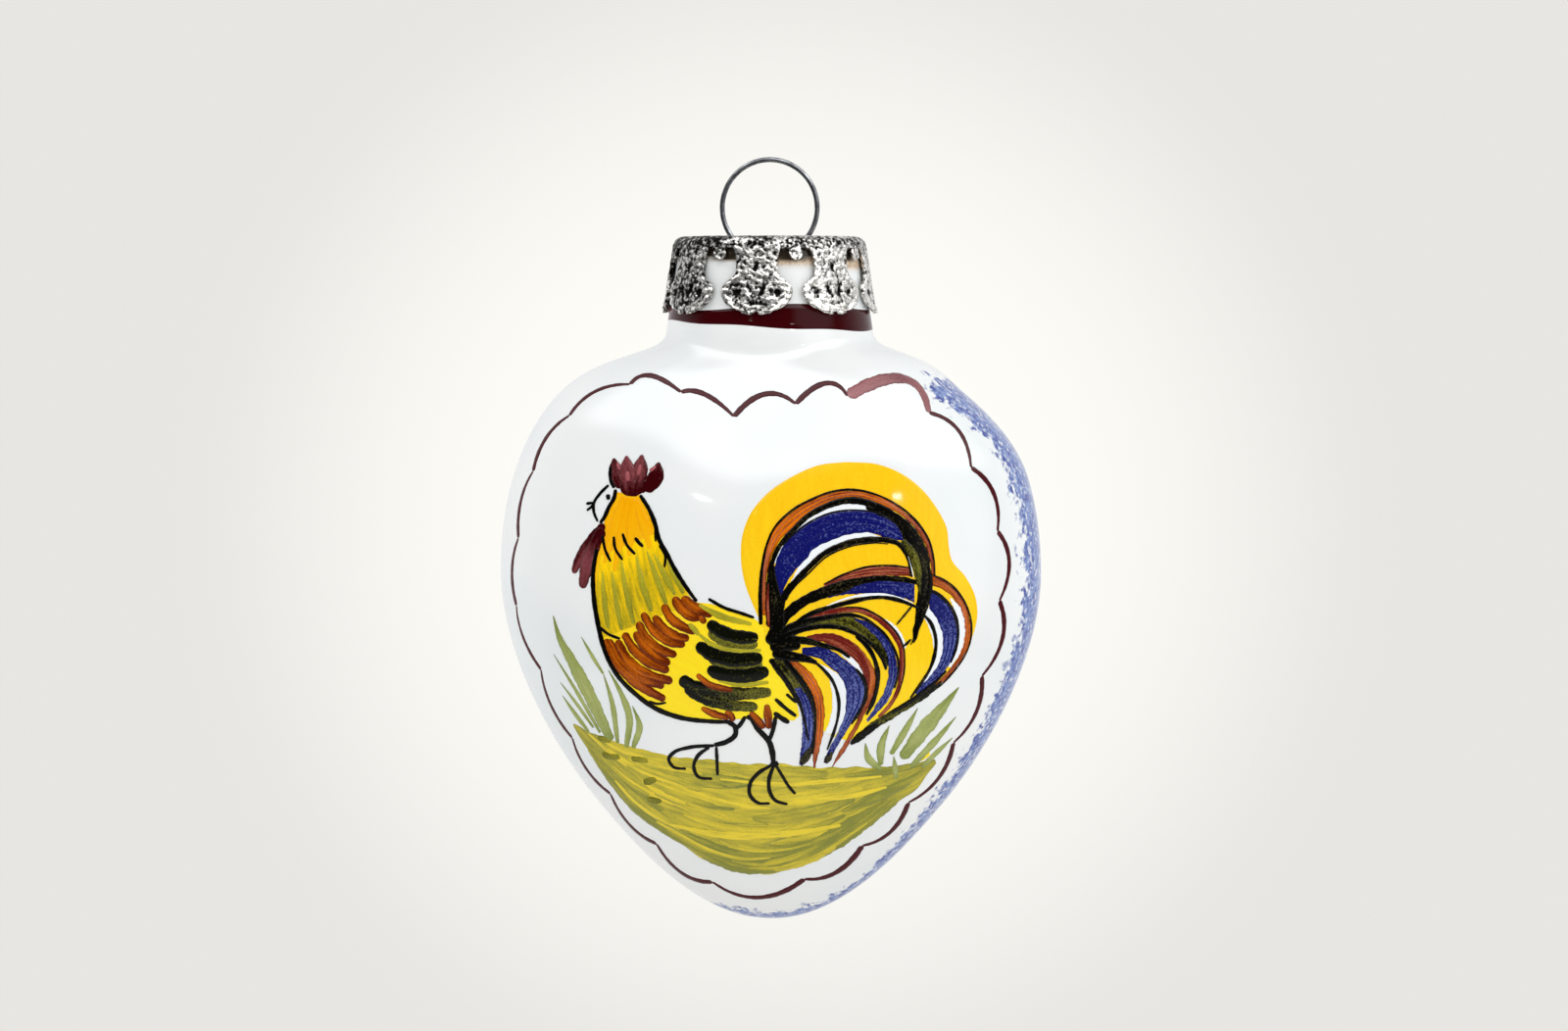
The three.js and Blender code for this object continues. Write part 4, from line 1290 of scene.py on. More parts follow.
# %% The mound
mound_top = whole_card(
    (584, 738), (610, 750), (636, 761), (682, 771), (739, 777), (815, 781), (890, 783), (930, 779),
    (955, 775))
mound_bottom = whole_card(
    (585, 741), (611, 781), (649, 829), (698, 864), (737, 885), (762, 891), (788, 891), (826, 880),
    (864, 857), (902, 829), (941, 798), (956, 778))
MOUND_LOAD = (0.8, 0.55, 0.4, 0.5, 0.8)
MOUND_RAGGED = 0.1
STREAKS = 34
STREAK_POINTS = 5
STREAK_PRESS = (0.3, 0.8, 1, 0.8, 0.4)
STREAK_STARTS = (0.06, 0.66)
STREAK_LENGTHS = (0.1, 0.3)
STREAK_TILT = 0.05
LAST_SHARE = 0.95
# One load for each brush, and the widths of a full and of a nearly dry one.
BRUSH_LOADS = [0.65, 0.3, 0.85, 0.45, 0.05, 0.65, 0.8]
NEARLY_DRY = 0.2
FULL_WIDTHS = (1.0, 2.4)
DRY_WIDTHS = (0.6, 1.2)
LOAD_CHANGES = np.array([1, 0.7, 1.2])
# Streaks that follow one another lie this many rows apart, so that the loads mix.
ROW_STRIDE = 11
PLACE_IN_ROW = (0.2, 0.8)


def across_mound(start, end, fall, width, load):
    """A streak between two shares of the mound's length, at shares of the way down it."""
    share = np.linspace(start, end, STREAK_POINTS)
    fall = np.clip(fall, 1 - LAST_SHARE, LAST_SHARE)[:, None]
    path = smooth_path(mound_top, share) * (1 - fall) + smooth_path(mound_bottom, share) * fall
    stroke("meadow", path, width, STREAK_PRESS, load, 2)


wash("meadow", mound_top, mound_bottom, MOUND_LOAD, ragged=MOUND_RAGGED)
for number in range(STREAKS):
    start = random.uniform(*STREAK_STARTS)
    end = min(start + random.uniform(*STREAK_LENGTHS), LAST_SHARE)
    fall = (number * ROW_STRIDE % STREAKS + random.uniform(*PLACE_IN_ROW)) / STREAKS
    tilt = random.uniform(-STREAK_TILT, STREAK_TILT) * np.linspace(-1, 1, STREAK_POINTS)
    load = BRUSH_LOADS[number % len(BRUSH_LOADS)]
    width = random.uniform(*(FULL_WIDTHS if load > NEARLY_DRY else DRY_WIDTHS))
    across_mound(start, end, fall + tilt, width, load * LOAD_CHANGES)
print(STREAKS, "streaks on the mound")

# %% The mound's dark lower edge, its dabs and its bright streaks
# The shares where a streak starts and ends, how far down the mound it lies, and its width.
lower_edge = [
    (0.06, 0.4, 0.94, 1.8), (0.1, 0.3, 0.7, 1.4), (0.34, 0.56, 0.84, 2.0), (0.48, 0.7, 0.82, 2.2),
    (0.66, 0.86, 0.8, 1.6), (0.36, 0.62, 0.93, 2.8), (0.56, 0.88, 0.93, 2.6), (0.74, 0.96, 0.6, 1.8),
    (0.76, 0.97, 0.12, 1.2),
]
mound_dabs = [
    (0.85, (0.8, 0.6), [(500, 925), (530, 934), (560, 940)]),
    (0.95, (0.9, 0.7), [(520, 1000), (560, 1010), (600, 1012)]),
    (0.85, (0.8, 0.6), [(650, 1020), (690, 1024), (725, 1030)]),
    (0.95, (0.9, 0.7), [(705, 1128), (735, 1118), (760, 1108)]),
    (0.95, (0.8, 0.9), [(720, 1200), (750, 1205), (785, 1206)]),
]
bright_streaks = [
    (1.2, [(683, 841), (744, 853), (800, 851), (858, 842)]), (0.9, [(655, 797), (672, 808), (700, 820)]),
    (0.6, [(600, 748), (625, 770), (640, 782)]), (0.7, [(735, 795), (790, 800), (850, 797), (900, 792)]),
    (0.8, [(830, 815), (870, 812), (905, 803)]),
]
yellow_end = [("yellow", 1.1, BLOB, (0.15, 0.1), 2, [(936, 775), (943, 771), (949, 769)])]
EDGE_LOAD = (0.75, 1, 0.8)
SWEEP = (0.3, 1, 0.9, 0.4)
WET = (0, 0.1, 0)
for start, end, fall, width in lower_edge:
    across_mound(start, end, np.full(STREAK_POINTS, fall), width, EDGE_LOAD)
paint(grass_card, [("olive", width, BLOB, load, 3, points) for width, load, points in mound_dabs])
paint(whole_card, [("meadow", width, SWEEP, WET, 2.5, points) for width, points in bright_streaks])
paint(whole_card, yellow_end)

# %% Blades of grass
LEAF = (0.06, 0.6, 1, 0.9, 0.6)
LEAF_LOAD = (1, 0.6, 0.5, 0.8)
left_blades = [
    (2.1, [(303, 385), (330, 480), (382, 580), (455, 720), (560, 940)]),
    (0.5, [(428, 478), (480, 570), (525, 642)]), (0.75, [(525, 640), (562, 760), (590, 950)]),
    (0.95, [(548, 625), (600, 720), (640, 830), (628, 970)]), (0.85, [(655, 785), (686, 870), (658, 972)]),
    (0.6, [(305, 555), (400, 710), (512, 905)]), (0.55, [(335, 680), (410, 780), (482, 882)]),
    (0.75, [(345, 740), (400, 820), (462, 902)]),
]
right_blades = [
    (2.2, [(1068, 1125), (1000, 1210), (900, 1330), (808, 1452)]),
    (1.1, [(1055, 1260), (960, 1370), (848, 1490)]),
    (0.85, [(1040, 1355), (960, 1430), (898, 1492)]), (0.95, [(880, 1220), (830, 1310), (758, 1432)]),
    (1.0, [(750, 1300), (714, 1390), (710, 1482)]), (0.9, [(640, 1380), (655, 1450), (712, 1502)]),
    (0.7, [(770, 1440), (776, 1490), (782, 1545)]),
]
for to_skin, blades in ((grass_card, left_blades), (tail_card, right_blades)):
    paint(to_skin, [("sage", width, LEAF, LEAF_LOAD, 3, points) for width, points in blades])

# %% [markdown]
# ## The lobed frame and the neck stripe
#
# A thin manganese line frames the face in scallops that bulge outwards, each a single press of the
# brush between two cusps, so it thickens and thins. The back has no picture that could be seen, so it
# repeats the frame alone. A broad stripe of oxblood rings the neck under the cap.

# %% Scallops from cusp to cusp, on the face and on the back
cusps = whole_card(
    (749, 425), (695, 400), (643, 392), (581, 424), (544, 481), (529, 549), (527, 618), (552, 683),
    (584, 753), (623, 810), (670, 861), (727, 900), (821, 897), (880, 863), (927, 819), (973, 758),
    (1002, 690), (1020, 613), (1018, 542), (991, 477), (948, 421), (865, 404), (812, 412), (749, 425))
SCALLOP_PRESS = (0.45, 0.75, 0.95, 1, 0.85)
SCALLOP_LOAD = (1, 1.15, 1)
SCALLOP_POINTS = 7
# One scallop was pressed so wide that the brush ran out of pigment.
WIDE_SCALLOP = 1.0
WIDE_LOAD = (0.4, 0.55, 0.25)
# A scallop is the brush's width in millimetres and how far it bulges, as a share of its span.
scallops = [
    (0.66, 0.17), (0.75, 0.25), (0.7, 0.14), (0.82, 0.12), (0.74, 0.1), (0.76, 0.1), (0.66, 0.1),
    (0.66, 0.1), (0.74, 0.12), (0.84, 0.15), (0.9, 0.2), (0.85, 0.21), (0.95, 0.17), (0.85, 0.16),
    (0.8, 0.13), (0.75, 0.12), (0.75, 0.145), (0.7, 0.15), (0.7, 0.15), (0.7, 0.17), (1.7, 0.34),
    (0.75, 0.32), (0.74, 0.25),
]


def scallop(start, end, swell):
    """A parabola from cusp to cusp: (1 - t) start + t end + 4t(1 - t) bulge, away from the middle."""
    out = (start + end) / 2 - middle_of_face
    bulge = swell * np.linalg.norm(end - start) * out / np.linalg.norm(out)
    t = np.linspace(0, 1, SCALLOP_POINTS)[:, None]
    return (1 - t) * start + t * end + 4 * t * (1 - t) * bulge


for start, end, (width, swell) in zip(cusps, cusps[1:], scallops):
    load = WIDE_LOAD if width > WIDE_SCALLOP else SCALLOP_LOAD
    for facing in (-1, 1):
        stroke("manganese", scallop(start, end, swell), width, SCALLOP_PRESS, load, 2, facing)
print(len(scallops), "scallops on each side")

# %% The neck stripe
STRIPE_ROWS = 240
STRIPE_TOP_Z = -16.75
STRIPE_FOOT_Z = -19.0
TOP_SWING = 0.4
TOP_WAVES = 3
TOP_BEAT = 0.4
FOOT_SLANT = 0.63
FOOT_SWING = 0.08
FOOT_WAVES = 7
FOOT_BEAT = 1.2
STRIPE_LOAD = 1.15
# The stripe pales where the brush was set down, on the left.
PALE_LOAD = 0.7
PALE_TURN = 0.35


def neck_stripe():
    """A closed lens of pigment round the neck. It swings to and fro and sinks to the right."""
    turn = full_turn(STRIPE_ROWS)[:, None]
    upper = STRIPE_TOP_Z + TOP_SWING * np.sin(TOP_WAVES * (turn + math.pi / 2) + TOP_BEAT)
    lower = STRIPE_FOOT_Z - FOOT_SLANT * np.cos(turn) + FOOT_SWING * np.sin(FOOT_WAVES * turn + FOOT_BEAT)
    z = (upper + lower) / 2 + (lower - upper) / 2 * LENS
    width, depth = rail_at(z)
    lift = lens_lift(2)
    points = section(width + lift, depth + lift, z, turn)
    faces = ring_faces(STRIPE_ROWS + 1, len(LENS)) % (STRIPE_ROWS * len(LENS))
    load = STRIPE_LOAD - PALE_LOAD * np.exp(-((turn - math.pi) / PALE_TURN) ** 2)
    brush = turn * NECK_ROOT_RADIUS, LENS * (upper - lower) / 2, load, np.abs(LENS)
    keep_film("oxblood", points, list(faces), list(np.tile(LENS_TOP, STRIPE_ROWS)), brush)


neck_stripe()
print("all strokes:", sum(len(films) for films in pots.values()))

# %% [markdown]
# ## Pigments
#
# High-fired pigments are watery: they thin to a tint where the brush is dry, run in streaks with the
# hairs, pool at the edge of a stroke, and break into grains where the glaze boils through. One node
# group does all of that from the four numbers each film keeps, and a pot differs only in its two
# colours and in how strongly it streaks, grains and pools.

# %% The brushed colour, shared by all pots
# Streaks in a millimetre along the hairs and across them, grains in a metre.
STREAKS_ALONG = 0.28
STREAKS_ACROSS = 2.0
PIGMENT_GRAINS = 4200.0
POOL_POWER = 4.0

brushed, brushed_in, brushed_out = new_group(
    "brushed_colour",
    [("Thin", "Color"), ("Full", "Color"), ("Streak", "Float"), ("Grain", "Float"), ("Pool", "Float")],
    [("Colour", "Color")])
along, across, amount = put(brushed, "SeparateXYZ", {0: kept_value(brushed, "brush", "Vector")}).outputs
hairs = put(brushed, "CombineXYZ", {
    0: combine(brushed, "MULTIPLY", along, STREAKS_ALONG),
    1: combine(brushed, "MULTIPLY", across, STREAKS_ACROSS)})
streaks = noise(brushed, hairs.outputs[0], 1.0, 4.0)
grains = noise(brushed, object_place(brushed), PIGMENT_GRAINS)
for texture, share in ((streaks, "Streak"), (grains, "Grain")):
    swing = combine(brushed, "SUBTRACT", texture, 0.5)
    amount = combine(brushed, "MULTIPLY_ADD", swing, brushed_in.outputs[share], amount)
pooled_edge = combine(brushed, "POWER", kept_value(brushed, "film_edge"), POOL_POWER)
amount = combine(brushed, "MULTIPLY_ADD", pooled_edge, brushed_in.outputs["Pool"], amount)
amount = put(brushed, "Clamp", {0: amount}).outputs[0]
colour = blend_colours(brushed, amount, brushed_in.outputs["Thin"], brushed_in.outputs["Full"])
brushed.links.new(colour, brushed_out.inputs["Colour"])
print("brushed nodes", len(brushed.nodes))

# %% The pots, poured into one piece each
# The glaze lies thin over the pigment, so it mirrors less than the white does.
PIGMENT_GLASS = {"IOR": 1.26}
# A recipe is the colour of a thin and of a full load, and how strongly it streaks, grains and pools.
recipes = {
    "yellow": (seen(250, 226, 38), seen(240, 164, 0), 0.35, 0.3, 0.1),
    "meadow": (seen(228, 203, 60), seen(130, 132, 57), 1.4, 0.4, 0.2),
    "hackle": (seen(252, 206, 10), seen(128, 124, 26), 1.8, 0.5, 0.0),
    "olive": (seen(200, 186, 44), seen(96, 98, 28), 0.8, 0.5, 0.2),
    "sage": (seen(192, 196, 128), seen(116, 128, 56), 0.8, 0.4, 0.2),
    "brown": (seen(226, 116, 12), seen(98, 32, 2), 1.6, 0.6, 0.9),
    "russet": (seen(206, 120, 84), seen(104, 26, 18), 2.0, 0.8, 0.5),
    "oxblood": (seen(176, 96, 100), seen(54, 2, 6), 0.8, 0.4, 0.25),
    "manganese": (seen(176, 120, 122), seen(70, 16, 22), 0.6, 0.5, 0.2),
    "cobalt": (seen(120, 134, 196), seen(14, 18, 94), 0.9, 1.7, 0.35),
    "wing green": (seen(150, 146, 50), seen(10, 12, 5), 0.9, 1.1, 0.1),
    "black": (seen(110, 100, 60), seen(5, 5, 4), 0.9, 1.2, 0.1),
    "white": (seen(238, 241, 242), seen(231, 235, 237), 0.2, 0.2, 0.0),
}


def pigment(name, thin, full, streak, grain, pool):
    """The glaze over one brushed colour."""
    material, tree, shader = new_material(name, **PIGMENT_GLASS)
    give_glaze_skin(tree, shader)
    recipe = {"Thin": thin, "Full": full, "Streak": streak, "Grain": grain, "Pool": pool}
    colour = put(tree, "Group", recipe, node_tree=brushed)
    tree.links.new(colour.outputs["Colour"], shader.inputs["Base Color"])
    return material


for pot, films in pots.items():
    name = pot.replace(" ", "_") + "_strokes"
    points, faces, smooth, brush = zip(*films)
    faces = joined_faces(points, faces)
    brush = np.concatenate(brush)
    add_piece(name, np.concatenate(points), faces, pigment(name, *recipes[pot]), "vase",
              smooth=np.concatenate(smooth), values={"brush": brush[:, :3], "film_edge": brush[:, 3]})
    print(name, len(films), "films,", len(faces), "faces")

# %% [markdown]
# ## The pierced cap
#
# The cap is a cup of thin sheet, pressed with a sandy grain, plated with silver and blackened, so that
# the black stays in the hollows. It could be a plain cup with holes cut by booleans, but the cuts
# would leave ragged faces. Here the sheet is laid out in blocks instead, as a tinsmith would cut it:
# a crown in two halves round its wire holes, a rounded shoulder, eight lobed tabs and eight small
# drops between them. Neighbouring blocks share their edge points, so they weld into one sheet, which
# is then given its thickness.

# %% The outline of one tab and one drop
SHEET = 0.4
SKIRT_GAP = 0.35
CAP_SHOULDER = 1.3
TABS = 8
COLUMN_WIDTH = 4
LOBE_HEIGHT = 4.6
LOBE_RISE = 2.3
LOBE_GAP = 1.2
LOBE_FOOT = 2
DROP_LENGTH = 1.4
DROP_WIDTH = 1.6
ROUND = 0.55
LEAN = math.atan2(NECK_ROOT_RADIUS - NECK_RIM_RADIUS, RIM_Z - NECK_ROOT_Z)
SKIRT_TOP_Z = CAP_TOP_Z - CAP_SHOULDER
WIDEST_Z = CAP_EDGE_Z + LOBE_RISE
COLUMN_FOOT_Z = CAP_EDGE_Z + LOBE_HEIGHT
DROP_TIP_Z = SKIRT_TOP_Z - DROP_LENGTH


def skirt_radius(z):
    """Outside of the skirt: the neck's cone, a gap and the sheet, measured level."""
    return neck_radius(z) + SKIRT_GAP + SHEET / math.cos(LEAN)


def half_pitch(z):
    """Half of the way from one tab's middle to the next, straight across."""
    return neck_radius(z) * math.sin(math.pi / TABS)


def between(start, end, share):
    """The value a share of the way from start to end."""
    return start + (end - start) * share


def outline(*curves):
    """Bezier curves joined end to end, from lists of four (half-opening, height) points."""
    return np.concatenate([bezier(*np.array(curve, float)) for curve in curves])


foot_corner = half_pitch(CAP_EDGE_Z) - LOBE_FOOT / 2
lobe_side = LOBE_GAP / 2
column_side = half_pitch(COLUMN_FOOT_Z) - COLUMN_WIDTH / 2
arch_end = (column_side + DROP_WIDTH / 2) / 2
swell_z = (WIDEST_Z + COLUMN_FOOT_Z) / 2
drop_side = DROP_WIDTH / 2
drop_round_z = DROP_TIP_Z + drop_side
drop_pull = drop_side * (1 - ROUND)
tab_side = outline(
    [(arch_end, SKIRT_TOP_Z), (between(arch_end, column_side, ROUND), SKIRT_TOP_Z),
     (column_side, between(COLUMN_FOOT_Z, SKIRT_TOP_Z, ROUND)), (column_side, COLUMN_FOOT_Z)],
    [(column_side, COLUMN_FOOT_Z), (column_side, swell_z), (lobe_side, swell_z), (lobe_side, WIDEST_Z)],
    [(lobe_side, WIDEST_Z), (lobe_side, between(WIDEST_Z, CAP_EDGE_Z, ROUND)),
     (between(foot_corner, lobe_side, ROUND), CAP_EDGE_Z), (foot_corner, CAP_EDGE_Z)])
drop_outline = outline(
    [(arch_end, SKIRT_TOP_Z), (drop_side / 2, SKIRT_TOP_Z), (drop_side / 2, SKIRT_TOP_Z),
     (drop_side, drop_round_z)],
    [(drop_side, drop_round_z), (drop_side, DROP_TIP_Z + drop_pull), (drop_side * ROUND, DROP_TIP_Z),
     (0, DROP_TIP_Z)])
print("tab outline", len(tab_side), "points, drop outline", len(drop_outline), "points")

# %% Blocks of the sheet
TAB_ROWS = 66
TAB_COLUMNS = 37
DROP_ROWS = 18
DROP_COLUMNS = 17
SHOULDER_ROWS = 14
CROWN_ROWS = 16
SEAM_POINTS = 60
HOLE_RADIUS = 0.95
HOLE_X = 4.45
shoulder_centre = skirt_radius(SKIRT_TOP_Z + CAP_SHOULDER * math.sin(LEAN)) - CAP_SHOULDER * math.cos(LEAN)
cap_blocks = []


def on_skirt(turn, z):
    """Points of the skirt's outside, and their normals, which lean up with the cone."""
    radius = skirt_radius(z)
    lean = math.cos(LEAN)
    points = xyz(radius * np.cos(turn), radius * np.sin(turn), z)
    return points, xyz(lean * np.cos(turn), lean * np.sin(turn), math.sin(LEAN))


def keep_block(points, normals, faces, pressed=0.0):
    """Adds a block of the sheet, its faces turned to look along its normals. pressed is its relief."""
    points, normals = points.reshape(-1, 3), normals.reshape(-1, 3)
    corner = points[faces]
    look = np.cross(corner[:, 2] - corner[:, 0], corner[:, 3] - corner[:, 1])
    if np.sum(look * normals[faces[:, 0]]) < 0:
        faces = faces[:, ::-1]
    cap_blocks.append((points, normals, faces, np.broadcast_to(pressed, len(points))))


# %% The pressed work of a lobe
BEADS = 26
BEAD_HEIGHT = 0.15
BEAD_INSET = 0.5
BEAD_HALF_WIDTH = 0.3
ROPE_SHARE = 0.3
LOBE_FADE = (LOBE_HEIGHT - 1.2, LOBE_HEIGHT + 0.2)
# A hollow: how far from the middle, how high, half its width and height, its depth, and its slant.
hollows = [
    (0.75, 2.4, 0.2, 0.75, 0.28, 0.35), (2.3, 2.1, 0.32, 0.4, 0.26, 0), (0, 5.0, 0.26, 0.42, 0.22, 0),
    (0, 0.85, 0.9, 0.16, 0.14, 0),
]


def tab_relief(along, rise, to_edge):
    """A roped bead along the border, less bell-shaped hollows that are mirrored about the middle."""
    on_lobe = 1 - smoothstep(*LOBE_FADE, rise)
    rope = 1 - ROPE_SHARE + ROPE_SHARE * np.cos(BEADS * np.arctan2(rise - LOBE_HEIGHT / 2, along))
    height = BEAD_HEIGHT * np.exp(-((to_edge - BEAD_INSET) / BEAD_HALF_WIDTH) ** 2) * on_lobe * rope
    for middle, lift, half_width, half_height, depth, slant in hollows:
        across = (np.abs(along) - middle - slant * (rise - lift)) / half_width
        height = height - depth * np.exp(-across ** 2 - ((rise - lift) / half_height) ** 2)
    return height


# %% Eight tabs with a drop between each two
tab_rows = even_rows(tab_side, TAB_ROWS)
drop_rows = even_rows(drop_outline, DROP_ROWS)
tab_half = math.pi / TABS - np.arcsin(tab_rows[:, :1] / skirt_radius(tab_rows[:, 1:]))
drop_share = np.linspace(-1, 1, DROP_COLUMNS)
tab_share = np.linspace(-1, 1, TAB_COLUMNS)
drop_turn = np.arcsin(drop_rows[:, :1] * drop_share / skirt_radius(drop_rows[:, 1:]))
ring = []
for number in range(TABS):
    middle = -math.pi / 2 + number * 2 * math.pi / TABS
    turn = middle + tab_half * tab_share
    points, normals = on_skirt(turn, tab_rows[:, 1:])
    radius = skirt_radius(tab_rows[:, 1:])
    along = radius * np.sin(tab_half * tab_share)
    to_edge = radius * tab_half * (1 - np.abs(tab_share))
    relief = tab_relief(along, tab_rows[:, 1:] - CAP_EDGE_Z, to_edge)
    keep_block(points, normals, sheet_faces(TAB_ROWS, TAB_COLUMNS), relief.ravel())
    hang = middle + math.pi / TABS + drop_turn
    keep_block(*on_skirt(hang, drop_rows[:, 1:]), sheet_faces(DROP_ROWS, DROP_COLUMNS))
    ring += [*turn[0, :-1], *hang[0, :-1]]
ring = np.roll(ring, -(TAB_COLUMNS // 2))
print(TABS, "tabs of", TAB_ROWS * TAB_COLUMNS, "points")

# %% Shoulder and crown
arc = np.linspace(math.pi / 2, LEAN, SHOULDER_ROWS)[:, None]
around = np.append(ring, ring[0])
arc_radius = shoulder_centre + CAP_SHOULDER * np.cos(arc)
arc_z = SKIRT_TOP_Z + CAP_SHOULDER * np.sin(arc)
shoulder = xyz(arc_radius * np.cos(around), arc_radius * np.sin(around), arc_z)
shoulder_normal = xyz(np.cos(arc) * np.cos(around), np.cos(arc) * np.sin(around), np.sin(arc))
foot_points, foot_normal = on_skirt(around[None], np.full((1, 1), SKIRT_TOP_Z))
keep_block(np.concatenate([shoulder, foot_points]), np.concatenate([shoulder_normal, foot_normal]),
           sheet_faces(SHOULDER_ROWS + 1, len(around)))
half = len(ring) // 2
seam = np.linspace(-1, 1, SEAM_POINTS)[1:-1, None] * [0, shoulder_centre]
for side in (1, -1):
    edge = shoulder[0, :half + 1, :2] if side > 0 else shoulder[0, half:, :2]
    border = np.concatenate([edge, -side * seam])
    hole = np.array([side * HOLE_X, 0])
    lip = hole + HOLE_RADIUS * unit(border - hole)
    share = np.linspace(0, 1, CROWN_ROWS)[:, None, None]
    flat = lip + (border - lip) * share
    crown = np.concatenate([flat, np.full((*flat.shape[:2], 1), CAP_TOP_Z)], -1)
    keep_block(crown, np.broadcast_to((0.0, 0.0, 1.0), crown.shape), ring_faces(CROWN_ROWS, len(border)))
print("cap blocks", len(cap_blocks), "ring columns", len(ring))

# %% [markdown]
# ## The antique silver
#
# Seen close, the pressed sheet is a bed of bright sandy crumbs with black between them. Crumbs that are
# big enough to catch an outline are made in the mesh, as a sum of cosine waves that run every way. The
# finer ones are in the finish, with the black that sits wherever the sheet is low.

# %% Tarnish, shared by the cap and the wire
CLOUD_SCALE = 0.22
CLOUD_SHARE = 0.35
# The tarnish's level with no crumbs and no clouds, and the levels where the black begins and is full.
LEVEL = 1.175
BLACK_HOLDS = (0.35, 0.68)
HOLLOW_SHARE = 1.5
METAL_STRENGTH = 0.7

tarnish, tarnish_in, tarnish_out = new_group(
    "tarnish", [("Hollow", "Float"), ("Scale", "Float"), ("Black", "Float")],
    [("Mask", "Float"), ("Height", "Float")])
place = object_place(tarnish)
crumbs = noise(tarnish, place, tarnish_in.outputs["Scale"], 4.0)
clouds = noise(tarnish, place, combine(tarnish, "MULTIPLY", tarnish_in.outputs["Scale"], CLOUD_SCALE))
low = combine(tarnish, "SUBTRACT", LEVEL, crumbs)
low = combine(tarnish, "MULTIPLY_ADD", clouds, -CLOUD_SHARE, low)
for share in ("Hollow", "Black"):
    low = combine(tarnish, "ADD", low, tarnish_in.outputs[share])
tarnish.links.new(ramp(tarnish, low, *BLACK_HOLDS), tarnish_out.inputs["Mask"])
tarnish.links.new(crumbs, tarnish_out.inputs["Height"])


def tarnished(name, bright, black, scale, black_share, bump, roughness, hollow=None):
    """A metal whose colour goes from bright to black where the tarnish lies, rougher there."""
    material, tree, shader = new_material(name, Metallic=1.0)
    skin = put(tree, "Group", {"Scale": scale, "Black": black_share}, node_tree=tarnish)
    if hollow:
        depth = combine(tree, "MULTIPLY", kept_value(tree, hollow), -HOLLOW_SHARE)
        tree.links.new(depth, skin.inputs["Hollow"])
    tree.links.new(blend_colours(tree, skin.outputs["Mask"], bright, black), shader.inputs["Base Color"])
    tree.links.new(ramp(tree, skin.outputs["Mask"], 0.0, 1.0, *roughness), shader.inputs["Roughness"])
    relief = {"Strength": METAL_STRENGTH, "Distance": bump, "Height": skin.outputs["Height"]}
    tree.links.new(put(tree, "Bump", relief).outputs[0], shader.inputs["Normal"])
    return material


antique_silver = tarnished(
    "antique_silver", bright=seen(250, 247, 240), black=seen(15, 14, 12), scale=2700.0, black_share=0.02,
    bump=0.2 * MM, roughness=(0.26, 0.55), hollow="relief")
print("tarnish nodes", len(tarnish.nodes))

# %% The cap's mesh
GRAIN_WAVES = 70
GRAIN_HEIGHT = 0.05
GRAIN_LENGTHS = (0.5, 1.3)
WELD = 0.002
# What the black reads as relief: the grain, a darker rounded shoulder and crown, and painted light:
# for each millimetre to the right a little less black, so that the right side looks more lit than the left.
GRAIN_BLACK = 0.04
CROWN_BLACK = 0.06
CROWN_Z = (SKIRT_TOP_Z - 0.5, SKIRT_TOP_Z + 0.5)
RIGHT_SIDE_PAINTED_LIGHT = 0.0045


def sandy_grain(points):
    """A sum of cosines cos(k.p + phase) whose waves are GRAIN_LENGTHS long and run every way."""
    way = unit(random.normal(size=(GRAIN_WAVES, 3)))
    wave = 2 * math.pi / random.uniform(*GRAIN_LENGTHS, (GRAIN_WAVES, 1))
    phase = random.uniform(0, 2 * math.pi, GRAIN_WAVES)
    return np.cos(points @ (way * wave).T + phase).sum(1) / math.sqrt(GRAIN_WAVES / 2)


def add_cap():
    """The blocks, pressed and grained along their normals, welded and given the sheet's thickness."""
    points, normals, faces, relief = zip(*cap_blocks)
    faces = joined_faces(points, faces)
    points, normals, relief = np.concatenate(points), np.concatenate(normals), np.concatenate(relief)
    grain = np.tanh(sandy_grain(points))
    height = relief + GRAIN_HEIGHT * grain
    darker = CROWN_BLACK * smoothstep(*CROWN_Z, points[:, 2])
    # The relief that the black reads also holds painted light: the right side is made less black, as if it
    # were lit more.
    values = {"relief": relief + GRAIN_BLACK * grain - darker + RIGHT_SIDE_PAINTED_LIGHT * points[:, 0]}
    cap = add_piece("pierced_cap", points + normals * height[:, None], faces, antique_silver,
                    "cap", values=values)
    sheet = bmesh.new()
    sheet.from_mesh(cap.data)
    bmesh.ops.remove_doubles(sheet, verts=sheet.verts, dist=WELD * MM)
    sheet.to_mesh(cap.data)
    sheet.free()
    thickness = cap.modifiers.new("sheet", "SOLIDIFY")
    thickness.thickness = SHEET * MM
    thickness.offset = -1
    thickness.use_quality_normals = True
    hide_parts("filigree_cap")
    return cap


cap = add_cap()
print("pierced_cap", len(cap.data.vertices), "points before its thickness")

# %% [markdown]
# ## The hanger
#
# One length of spring wire makes the loop and both legs. The legs step in through the cap's holes,
# spread inside the neck and grip its bore. It is a round section carried along the bent route, and
# the ends are closed with a small dome, as a cut wire that was tumbled.

# %% The wire's route
WIRE_RADIUS = 0.3
LOOP_RADIUS = 5.6
LOOP_ABOVE_CAP = 3.4
LEG_BEND = 1.0
LEG_STRAIGHT = 3.5
LEG_FLARE = 5.0
LEG_GRIP = 4.0
LEG_TIP_DROP = 2.0
LEG_TIP_CURL = 0.8
LEG_STEP_IN = 0.35
LEG_CLEARANCE = 0.3
WIRE_SIDES = 20
WIRE_ROWS = 520
LOOP_POINTS = 400
TIP_SHARE = 0.5
TIP_ROWS = 2


